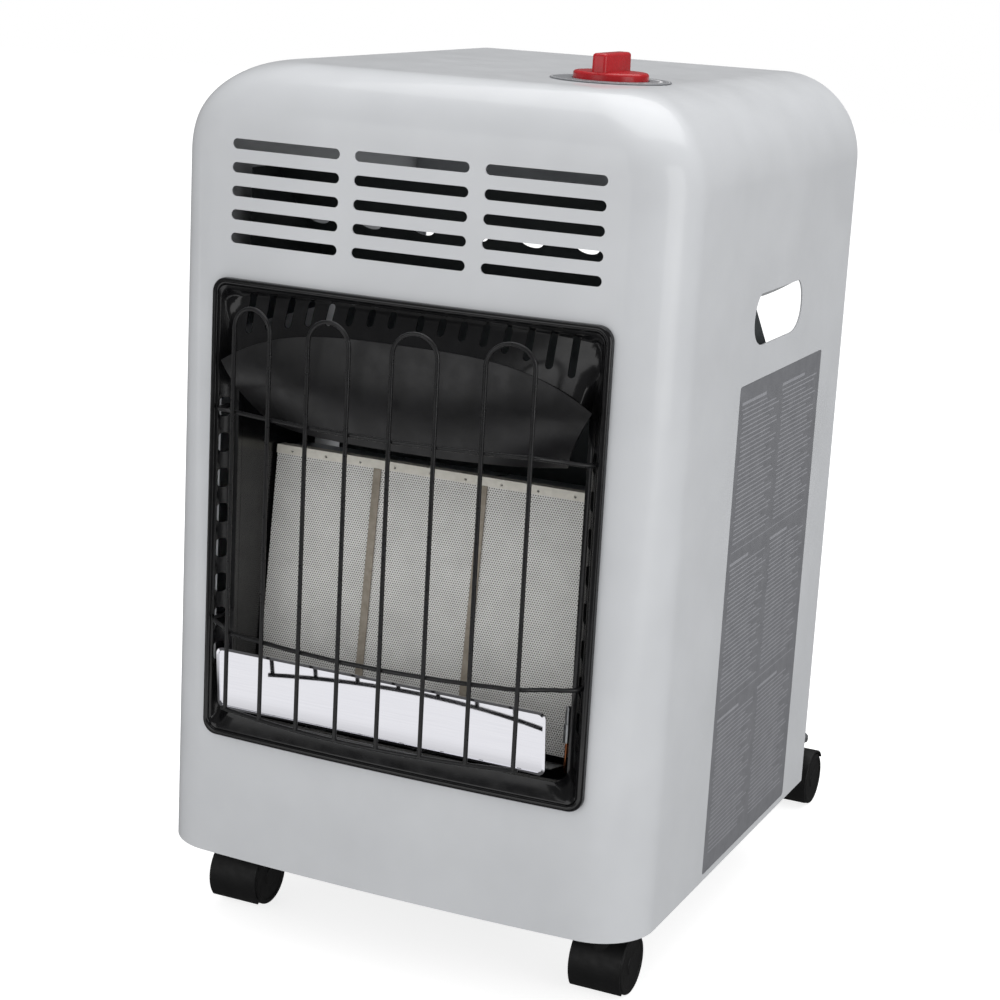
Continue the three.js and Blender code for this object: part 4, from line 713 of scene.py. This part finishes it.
# ---- deflector hood ----
def deflector_hood():
    """A pressed visor that follows the window's arch, bulges in the middle and curls back at its ends."""
    across, down = 96, 20
    columns = []
    for i in range(across + 1):
        across_share = 2 * i / across - 1
        top_x, foot_x = HOOD_HALF * across_share, HOOD_FOOT_HALF * across_share
        top_y = front_y(top_x) + BAND_DEPTHS[2] - HOOD_STANDOFF
        foot_y = top_y + HOOD_STANDOFF + HOOD_FOOT_BACK * abs(across_share) ** 3
        top_z = HOOD_TIP + arch_rise(across_share, HOOD_RISE)
        front = []
        for j in range(down + 1):
            share = j / down
            swell = HOOD_BULGE * (1 - across_share ** 2) * sin(pi * share)
            front.append((top_x + (foot_x - top_x) * share, top_y + (foot_y - top_y) * share ** 2 - swell,
                          top_z + (HOOD_BOTTOM - top_z) * share))
        columns.append(front + [(x, y + SHEET, z) for x, y, z in reversed(front)])
    return round_edges(build("deflector_hood_fine", loft(columns, capped=True)), 0.3)


fit(deflector_hood(), hood_enamel, "black_enamel", "deflector_hood")


# ---- wire guard ----
FRONT_WIRE_X = (LOOP_PITCH - LOOP_WIDTH) / 2
WIRE_MARGIN = 0.45  # keeps the round wires inside the solids they stand for
GUARD_Y = GUARD_LOW.y + WIRE_RADIUS + WIRE_MARGIN + GUARD_BOW * (1 - (FRONT_WIRE_X / WINDOW_HALF) ** 2)


def guard_y(x):
    return GUARD_Y - GUARD_BOW * (1 - (x / WINDOW_HALF) ** 2)


def smooth_line(points, steps=8):
    """A line through points that bends evenly between them."""
    points = [Vector(p) for p in points]
    ends = [points[0] * 2 - points[1], *points, points[-1] * 2 - points[-2]]
    line = []
    for a, b, c, d in zip(ends, ends[1:], ends[2:], ends[3:]):
        for i in range(steps):
            t = i / steps
            line.append(0.5 * (2 * b + (c - a) * t + (2 * a - 5 * b + 4 * c - d) * t * t
                               + (3 * b - a - 3 * c + d) * t ** 3))
    return line + [points[-1]]


def wire_guard():
    """Loops, two crossbars that hook into the bezel's side slots, and a foot bar, all welded."""
    radius = LOOP_WIDTH / 2
    wires = []
    for i in range(LOOPS):
        middle = (i - (LOOPS - 1) / 2) * LOOP_PITCH
        crown = arc((middle, GUARD_TOP - radius), radius, 180, 0, 28)
        outline = [(middle - radius, GUARD_FOOT), *crown, (middle + radius, GUARD_FOOT)]
        wires.append(swept([(x, guard_y(x), z) for x, z in outline], WIRE_RADIUS))
    weld = 2 * WIRE_RADIUS - 0.5
    for hook_z, z in CROSSBARS:
        half = [(x, guard_y(x) + weld, z) for x in range(14, 125, 22)]
        hook_y = front_y(SIDE_SLOT_X) - RIM_HEIGHT
        half += [((half[-1][0] + SIDE_SLOT_X) / 2, (half[-1][1] + hook_y) / 2, (z + hook_z) / 2),
                 (SIDE_SLOT_X, hook_y, hook_z), (SIDE_SLOT_X, CORNER_Y + 9, hook_z)]
        other = [(-x, y, z) for x, y, z in reversed(half)]
        wires.append(swept(smooth_line(other + half), WIRE_RADIUS))
    outer = (LOOPS - 1) / 2 * LOOP_PITCH + radius + 2 * WIRE_RADIUS
    foot = [outer * (2 * i / 24 - 1) for i in range(25)]
    wires.append(swept([(x, guard_y(x), GUARD_FOOT) for x in foot], WIRE_RADIUS))
    return build("wire_guard_fine", together(*wires))


fit(wire_guard(), black_wire, "black_wire", "wire_guard")


# ---- polished plate under the burner ----
def lower_reflector():
    """A plate with a bevelled rim, whose top leans forwards."""
    low, high = place("lower_reflector")
    lean, thick, bevel, bevel_depth = 5, 0.8, 2.2, 0.4
    width, height = high.x - low.x, high.z - low.z
    outline = rounded(low.x, 0, width, height, 6, 10)
    inner = rounded(low.x + bevel, bevel, width - 2 * bevel, height - 2 * bevel, 4.5, 10)

    def put(ring, depth):
        return [(x, low.y + lean * (1 - z / height) + depth, low.z + z) for x, z in ring]

    rings = [put(outline, thick + bevel_depth), put(outline, bevel_depth), put(inner, 0), put(inner, thick)]
    return build("lower_reflector_fine", loft(rings, capped=True), 60)


fit(lower_reflector(), mirror_steel, "polished_steel", "lower_reflector")


# ---- heat shield and base tray ----
def heat_shield():
    """A sheet that folds forwards over the burner, with a row of holes, and its two cheeks."""
    y, half = CORNER_Y + 268, SHIELD_HIGH.x
    fold, top, low = 498, 628, SHIELD_LOW.z
    flange = 16
    slant = SHEET * tan(pi / 8)
    top_y = y - (top - fold)
    back = SHEET * sqrt(0.5)
    section = [(y, low), (y + flange, low), (y + flange, low + SHEET), (y + SHEET, low + SHEET),
               (y + SHEET, fold + slant), (top_y + back, top + back), (top_y, top), (y, fold)]
    holes, hole_x, hole_z, pitch, radius = 8, -9, 583, 50, 11.5
    hole_y = y - (hole_z - fold)
    cuts = []
    for i in range(holes):
        x = hole_x + (i - (holes - 1) / 2) * pitch
        outline = [(x + a, hole_z + b * sqrt(0.5)) for a, b in arc((0, 0), radius, 0, 352.5, 47)]
        cuts.append(prism(outline, "y", hole_y - 2 * radius, hole_y + 2 * radius))
    shield = build("heat_shield_fine", prism(section, "x", -half, half))
    carve(shield, together(*cuts))
    wing_y = y - 168                    # its wings close the chamber's sides above the fold
    cheeks = []
    for side in (-1, 1):
        thickness = sorted((side * half, side * (half - SHEET)))
        cheeks.append(prism([(y, low), (y + flange, low), (y + flange, fold), (y, fold)], "x", *thickness))
        cheeks.append(prism([(y, fold), (top_y, top), (wing_y, top), (wing_y, fold)], "x", *thickness))
    return shield, build("heat_shield_sides", together(*cheeks))


shield, shield_sides = heat_shield()
fit(round_edges(shield, 0.3), dark_sheet, "dark_sheet", "heat_shield")
fit(round_edges(shield_sides, 0.3), dark_sheet, "dark_sheet")


def base_tray():
    """A shallow pan with the cabinet's plan that also reaches out behind it."""
    inset, radius = 1.7, 30
    shoulder = SHELL_HIGH.y - inset
    rear, half = TRAY_HIGH.y, 178
    top, floor = 73.2, TRAY_LOW.z

    def outline(drawn):
        front = plan_outline(inset + drawn, inset + drawn, CORNER_RADIUS - inset - drawn, shoulder - drawn)
        right = [(half - drawn, shoulder - drawn)]
        right += arc((half - radius, rear - radius), radius - drawn, 0, 90, 14)
        return front + right + [(-x, y) for x, y in reversed(right)]

    pan = build("base_tray_fine", prism(outline(0), "z", floor, TRAY_HIGH.z))
    carve(pan, prism(outline(SHEET), "z", top, TRAY_HIGH.z + SHEET))
    return round_edges(pan, 0.4)


def cylinder_ring():
    """The bead pressed up in the tray, inside which a cylinder stands."""
    middle, half, low, crest, cylinder_y = 114.5, 2.5, 72.6, 74.7, CORNER_Y + 430
    profile = [(middle - half, low), (middle - half, crest + 1)]
    profile += [(middle + a, crest + b) for a, b in arc((0, 0), half, 180, 0, 10)] + [(middle + half, low)]
    return build("cylinder_locating_ring", moved(turned(profile, 96), y=cylinder_y))


fit(base_tray(), dark_sheet, "dark_sheet", "base_tray")
fit(cylinder_ring(), dark_sheet, "dark_sheet")


# ---- dial and knob ----
SCALE_RING = (45.2, 45.7)
TICK_ANGLES = range(-150, 91, 10)
TICK_RADII = (41, 42.5, 44)  # where every third one and the others begin, and where all end
BAR_RADIUS = 40.3
BAR_WIDTH = 3  # at its wide end; it swells from nothing
BAR_START = -140
BAR_SWEEP = 220
NUMBER_RADIUS = 34
NUMBER_SIZE = 5
NUMBER_ANGLES = {"1": -120, "2": -50, "3": 20}


def dial_plate():
    """A flat ring round the knob."""
    radius, inner, edge = DIAL_RADIUS, KNOB_RADIUS + 1, 0.3
    top, low = DIAL_HIGH.z - 0.06, DIAL_LOW.z
    profile = [(inner, low), (radius, low), (radius, top - edge), (radius - edge, top), (inner, top),
               (inner, low)]
    return build("dial_plate_fine", moved(turned(profile, 128), KNOB_CENTRE.x, KNOB_CENTRE.y))


def ring_strip(inner, outer, start, end, z, steps):
    """A flat strip of a ring, between two angles in degrees."""
    edges = [arc((0, 0), radius, start, end, steps) for radius in (inner, outer)]
    return loft([[(x, y, z) for x, y in pair] for pair in zip(*edges)], loop=False)


def dial_marks():
    """Printed scale: ticks, a swelling flame-size bar and the numbers 1, 2 and 3."""
    z = DIAL_HIGH.z - 0.03
    long, short, outer = TICK_RADII
    forms = [ring_strip(*SCALE_RING, 0, 360, z, 96)]
    for angle in TICK_ANGLES:
        inner = long if angle % 30 == 0 else short
        forms.append(ring_strip(inner, outer, angle - 0.5, angle + 0.5, z, 1))
    steps = 40
    for i in range(steps):
        start = BAR_START + BAR_SWEEP * i / steps
        inner = BAR_RADIUS - BAR_WIDTH * i / steps
        forms.append(ring_strip(inner, BAR_RADIUS, start, start + BAR_SWEEP / steps, z, 1))
    return build("dial_marks", moved(together(*forms), KNOB_CENTRE.x, KNOB_CENTRE.y))


def dial_number(value, angle):
    """A printed number that stands upright as seen from the rim."""
    letters = bpy.data.curves.new("number", "FONT")
    letters.body = value
    letters.size = NUMBER_SIZE * M
    letters.align_x = letters.align_y = "CENTER"
    text = bpy.data.objects.new("number", letters)
    mesh = bpy.data.meshes.new_from_object(text)
    bpy.data.objects.remove(text)
    number = new_object("dial_number_" + value, mesh)
    turn = radians(angle)
    spot = NUMBER_RADIUS * Vector((cos(turn), sin(turn), 0))
    number.location = (spot + Vector((KNOB_CENTRE.x, KNOB_CENTRE.y, DIAL_HIGH.z - 0.02))) * M
    number.rotation_euler.z = turn - pi / 2
    return number


fit(dial_plate(), dial_grey, "grey_print", "dial_plate")
fit(dial_marks(), pale_ink, "grey_print")
for value, angle in NUMBER_ANGLES.items():
    fit(dial_number(value, angle), pale_ink, "grey_print")


def grip_form(low, high):
    """The bar across the knob, with its upper edges and its upright corners rounded over."""
    half_width, reach, corner, fillet = 6.25, KNOB_RADIUS - 2.8, 3, 2.4
    rings = []

    def ring(inset, z):
        outline = rounded(-half_width + inset, -reach + inset, 2 * (half_width - inset), 2 * (reach - inset),
                          max(corner - inset * 0.5, 1), 10)
        rings.append([(x, y, z) for x, y in outline])

    ring(-0.5, low)
    ring(0, low + 5)
    ring(0.25, high - fillet)
    for a, b in arc((0, 0), fillet, 0, 90, 8)[1:]:
        ring(0.25 + fillet - a, high - fillet + b)
    return loft(rings, capped=True)


def control_knob():
    """A round base with a bar to grip across it."""
    low, high, radius = KNOB_LOW.z, KNOB_HIGH.z, KNOB_RADIUS
    base_top, fillet, edge, bore = low + 7.2, 2.4, 0.8, 4.3
    profile = [(bore, low), (radius - edge, low), (radius, low + edge), (radius, base_top - fillet)]
    profile += [(radius - fillet + a, base_top - fillet + b) for a, b in arc((0, 0), fillet, 0, 90, 8)[1:]]
    profile += [(radius * 0.6, base_top + 0.3), (0.01, base_top + 0.5)]
    knob = build("control_knob_fine", together(turned(profile, 96), grip_form(low + 1, high)))
    knob.location = (KNOB_CENTRE.x * M, KNOB_CENTRE.y * M, 0)
    return knob


fit(control_knob(), red_plastic, "red_plastic", "control_knob", body="knob_turn")


# ---- decal ----
DECAL_MARGIN, DECAL_GUTTER = 7, 5
RULE_RISE, RULE_HEIGHT = 2, 0.7  # the line above a section
HEADING_DROP, HEADING_HEIGHT = 9, 2.6  # from the section's top
HEADING_SHARES = (0.62, 0.48, 0.55)  # of a column's width, by section
TEXT_DROP, TEXT_FOOT = 13, 5  # free above and below a section's rows
TEXT_ROWS, TEXT_HEIGHT, TEXT_INDENT = 30, 1.1, 3
TEXT_SHARES = (0.66, 0.32)  # the shortest row, and how much is added to the longest


def side_decal():
    """A thin printed film with rounded corners, let into its shallow pocket."""
    outline = rounded(*grown(DECAL_LOW, DECAL_HIGH, 0, "y"), DECAL_RADIUS)
    return build("side_decal_fine", prism(outline, "x", DECAL_LOW.x, DECAL_HIGH.x - 0.06))


def decal_print():
    """Rows of plain bars in three stacked sections of two columns, in place of any wording."""
    x, left, top = DECAL_HIGH.x - 0.02, DECAL_LOW.y + DECAL_MARGIN, DECAL_HIGH.z - DECAL_MARGIN
    width = DECAL_HIGH.y - DECAL_MARGIN - left
    column = (width - DECAL_GUTTER) / 2
    section = (top - DECAL_LOW.z - DECAL_MARGIN) / 3
    row_pitch = (section - TEXT_DROP - TEXT_FOOT) / TEXT_ROWS
    shortest, added = TEXT_SHARES
    forms = []

    def bar(y, z, length, height):
        corners = [(x, y, z), (x, y + length, z), (x, y + length, z + height), (x, y, z + height)]
        forms.append((corners, [(0, 1, 2, 3)]))

    for part, heading_share in enumerate(HEADING_SHARES):
        if part:
            bar(left, top + RULE_RISE, width, RULE_HEIGHT)
        for side in range(2):
            y = left + side * (column + DECAL_GUTTER)
            bar(y, top - HEADING_DROP, column * heading_share, HEADING_HEIGHT)
            for row in range(TEXT_ROWS):
                share = shortest + added * abs(sin(row * 2.3 + side * 1.7 + part))
                indent = TEXT_INDENT if row % 6 else 0
                bar(y + indent, top - TEXT_DROP - row * row_pitch, (column - indent) * share, TEXT_HEIGHT)
        top -= section
    return build("side_decal_print", together(*forms))


fit(side_decal(), decal_grey, "grey_print", "side_decal")
fit(decal_print(), grey_ink, "grey_print")


# ---- castors ----
def castor_forms():
    """One castor with its axle at x = 0, y = 0, for every corner."""
    half, spine = CASTOR_HALF, 8
    inner, outer = WHEEL_RADIUS + FENDER_GAP, WHEEL_RADIUS + FENDER_GAP + FENDER_THICKNESS
    behind, ahead = 38, 222
    hub = (0, WHEEL_RADIUS)
    hood = arc(hub, outer, behind, ahead, 60) + arc(hub, inner, ahead, behind, 60)
    blade = arc(hub, (inner + outer) / 2, behind, ahead, 48) + [(0, WHEEL_RADIUS - 9)]
    bore, boss_radius, foot, top, edge = 5.3, 9, 35, 65, 0.8
    profile = [(bore, foot), (boss_radius, foot), (boss_radius, top - edge), (boss_radius - edge, top),
               (bore, top), (bore, foot)]
    boss = moved(turned(profile, 40), 0, -CASTOR_TRAIL)
    return prism(hood, "x", -half, half), prism(blade, "x", -spine, spine), boss


def wheel_form(side):
    """A nylon wheel: rounded tread, a shallow dish in its face and a raised hub."""
    half, inner, radius = CASTOR_HALF, CASTOR_HALF - WHEEL_WIDTH + 0.3, WHEEL_RADIUS
    edge, bore, hub, dish = 2, 3.3, 8, 0.9
    profile = [(bore, inner), (radius - edge, inner)]
    profile += [(radius - edge + a, inner + edge + b) for a, b in arc((0, 0), edge, -90, 0, 6)[1:]]
    profile += [(radius - edge + a, half - edge + b) for a, b in arc((0, 0), edge, 0, 90, 6)]
    profile += [(radius - 4, half), (radius - 5, half - dish), (hub + 1, half - dish), (hub, half),
                (0.01, half)]
    return turned([(r, side * x) for r, x in profile], 72, "x")


def castor(name, side, axle_y):
    """Places a castor's housing and its two wheels, each on its own body."""
    def put(node, form, body):
        piece = build(node + "_fine", form, 40)
        piece.location = (side * CASTOR_X * M, axle_y * M, 0)
        fit(round_edges(piece, 0.6), black_plastic, "black_plastic", node, body=body)

    put(f"{name}_housing", together(*castor_forms()), name)
    for hand, way in HANDS:
        wheel = f"{name}_wheel_{hand}"
        put(wheel, moved(wheel_form(way), z=WHEEL_RADIUS), wheel)


HANDS = (("left", -1), ("right", 1))
CASTORS = {f"castor_{end}_{hand}": side for end in ("front", "rear") for hand, side in HANDS}
for name, side in CASTORS.items():
    axle_low, axle_high = place(name + "_axle")
    castor(name, side, (axle_low.y + axle_high.y) / 2)


# ---- pipes and small turned pieces ----
VALVE_LOW = place("gas_valve")[0]
PILOT_LOW = place("pilot_burner")[0]
VALVE_PORT = 22.5  # the lines enter the valve this far right of the knob's axis
LINE_DROP = 32  # and cross over this far under it


def line_to_valve(node, radius, foot_y, climb_y):
    """A thin line from under the pilot, back below the burner, up and across to the valve."""
    low, high = place(node)
    pilot_x, valve_x = high.x - radius, KNOB_CENTRE.x + VALVE_PORT
    run_z, shift_z, gap = low.z + radius, VALVE_LOW.z - LINE_DROP, 0.3
    foot = [(pilot_x, foot_y, PILOT_LOW.z - gap), (pilot_x, foot_y, run_z), (pilot_x, climb_y, run_z)]
    climb = [(pilot_x, climb_y, shift_z), (valve_x, climb_y, shift_z), (valve_x, climb_y, VALVE_LOW.z - gap)]
    return build(node + "_fine", swept(route(foot + climb, 8), radius, 14))


def burner_feed_pipe():
    """A pipe that comes down from the valve and bends forwards to the manifold."""
    low, high = place("burner_feed_pipe")
    radius = 5
    x, y, z = low.x + radius, high.y - radius, low.z + radius
    line = route([(x, y, high.z), (x, y, z), (x, low.y, z)], 18)
    return build("burner_feed_pipe_fine", swept(line, radius, 24))


fit(burner_feed_pipe(), copper, "copper_tube", "burner_feed_pipe")
for node, radius, foot_y, climb_y in (("pilot_pipe", 2, 28, 117), ("thermocouple_lead", 1.2, 19, 126)):
    fit(line_to_valve(node, radius, CORNER_Y + foot_y, CORNER_Y + climb_y), copper, "copper_tube", node)


# ---- CAD pieces that are shown as they are, with their finish and slightly rounded edges ----
def row_of_three(stem):
    return [f"{stem}_{hand}" for hand in ("left", "centre", "right")]


CARRIED_OVER = (
    (tile_ceramic, 0.6, row_of_three("ceramic_tile")),
    (seal_fibre, 0.3, ["tile_divider_left", "tile_divider_right"]),
    (pale_ceramic, 0.3, ["tile_retainer", "spark_electrode"]),
    (black_enamel, 0.3, ["burner_side_plate_left", "burner_side_plate_right"]),
    (zinc_steel, 0.4, [*row_of_three("burner_plenum"), "gas_manifold", "chamber_floor", "gas_valve",
                       "valve_bracket", "valve_stem", "pilot_burner", "thermocouple_probe"]),
    (zinc_steel, 0.3, [f"{castor_name}_{piece}" for castor_name in CASTORS for piece in ("pivot", "axle")]),
    (brass, 0.3, [*row_of_three("injector"), "valve_nut", "valve_plunger", "gas_inlet_fitting"]),
    (black_plastic, 0.8, ["tip_over_switch"]),
)
for finish, width, names in CARRIED_OVER:
    for name in names:
        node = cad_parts[name]
        for holder in node.material_slots:
            holder.material = finish
        round_edges(node, width)


# ---- studio ----
def studio_world():
    """White to the eye, plain light on dull surfaces, and a dim room in mirroring ones."""
    world = bpy.data.worlds.new("white_room")
    world.use_nodes = True
    tree = world.node_tree
    tree.nodes.clear()
    eye, glass, mirror = [add(tree, "LightPath", output=f"Is {kind} Ray")
                          for kind in ("Camera", "Transmission", "Glossy")]
    seen = add(tree, "Math", {0: eye, 1: glass}, operation="MAXIMUM")
    unseen = add(tree, "Mix", {"Factor": mirror, 2: ROOM_LIGHT, 3: ROOM_MIRRORED}, data_type="FLOAT")
    strength = add(tree, "Mix", {"Factor": seen, 2: unseen, 3: 1.0}, data_type="FLOAT")
    add(tree, "OutputWorld", {"Surface": add(tree, "Background", {"Color": WHITE, "Strength": strength})})
    bpy.context.scene.world = world


def studio_floor():
    """White sweep: bright to the eye, dull enough to keep a faint shadow, and dim in mirroring surfaces.

    Only a pale card in front of the heater shows in the polished plate.
    """
    made = bpy.data.materials.new("paper_sweep")
    made.use_nodes = True
    tree = made.node_tree
    tree.nodes.clear()
    (near, far), soft = PLATE_SHINE
    where = add(tree, "TexCoord", output="Object")
    depth = add(tree, "SeparateXYZ", {0: where}, "Y")
    edges = [add(tree, "MapRange", {"Value": depth, "From Min": (edge + inward) * M, "From Max": edge * M})
             for edge, inward in ((near, -soft), (far, soft))]
    card = add(tree, "Math", {0: edges[0], 1: edges[1]}, operation="MULTIPLY")
    level = add(tree, "MapRange", {"Value": card, "To Min": FLOOR_MIRRORED, "To Max": 1.0})
    mirrored = add(tree, "Emission", {"Color": WHITE, "Strength": level})
    paper = add(tree, "BsdfDiffuse", {"Color": (FLOOR_GREY, FLOOR_GREY, FLOOR_GREY, 1)})
    glows = [add(tree, "Emission", {"Color": WHITE, "Strength": glow}) for glow in (FLOOR_LIGHT, FLOOR_SEEN)]
    lit = [add(tree, "AddShader", {0: paper, 1: glow}) for glow in glows]
    glossy, camera_ray = [add(tree, "LightPath", output=f"Is {kind} Ray") for kind in ("Glossy", "Camera")]
    other = add(tree, "MixShader", {"Fac": glossy, 1: lit[0], 2: mirrored})
    all_rays = add(tree, "MixShader", {"Fac": camera_ray, 1: other, 2: lit[1]})
    add(tree, "OutputMaterial", {"Surface": all_rays})
    z = cad_box[0].z / M - 0.2
    corners = [(x * FLOOR_REACH, y * FLOOR_REACH, z) for x, y in ((-1, -1), (1, -1), (1, 1), (-1, 1))]
    floor = build("floor", (corners, [(0, 1, 2, 3)]))
    floor.data.materials.append(made)
    return floor


def lamp(name, place_mm, width, height, power):
    """A rectangular lamp that faces the heater."""
    data = bpy.data.lights.new(name, "AREA")
    data.shape = "RECTANGLE"
    data.size, data.size_y = width * M, height * M
    data.energy = power
    obj = new_object(name, data)
    obj.location = Vector(place_mm) * M
    obj.rotation_euler = (Vector(LAMP_AIM) - Vector(place_mm)).to_track_quat("-Z", "Y").to_euler()
    return obj


def camera():
    """A camera with the photo's viewpoint and lens."""
    azimuth, pitch, roll = [radians(turn) for turn in CAMERA_TURN]
    level = Vector((-sin(azimuth), cos(azimuth), 0))
    forward = level * cos(pitch) - Vector((0, 0, sin(pitch)))
    right = Vector((cos(azimuth), sin(azimuth), 0))
    up = right.cross(forward)
    across = right * cos(roll) + up * sin(roll)
    above = up * cos(roll) - right * sin(roll)
    data = bpy.data.cameras.new("camera")
    data.sensor_width = SENSOR_WIDTH
    data.lens = CAMERA_LENS
    obj = new_object("camera", data)
    spot = Matrix.Translation((Vector(CAMERA_PLACE) + Vector((0, CORNER_Y, 0))) * M)
    obj.matrix_world = spot @ Matrix((across, above, -forward)).transposed().to_4x4()
    bpy.context.scene.camera = obj


studio_world()
studio_floor()
lamp("overhead", (200, 400, 2400), 2400, 2400, 32)
lamp("front", (-900, -3000, 900), 1800, 1800, 11)
lamp("right", (2500, -700, 600), 1400, 1800, 15)
camera()
bpy.context.scene.view_settings.view_transform = "Standard"
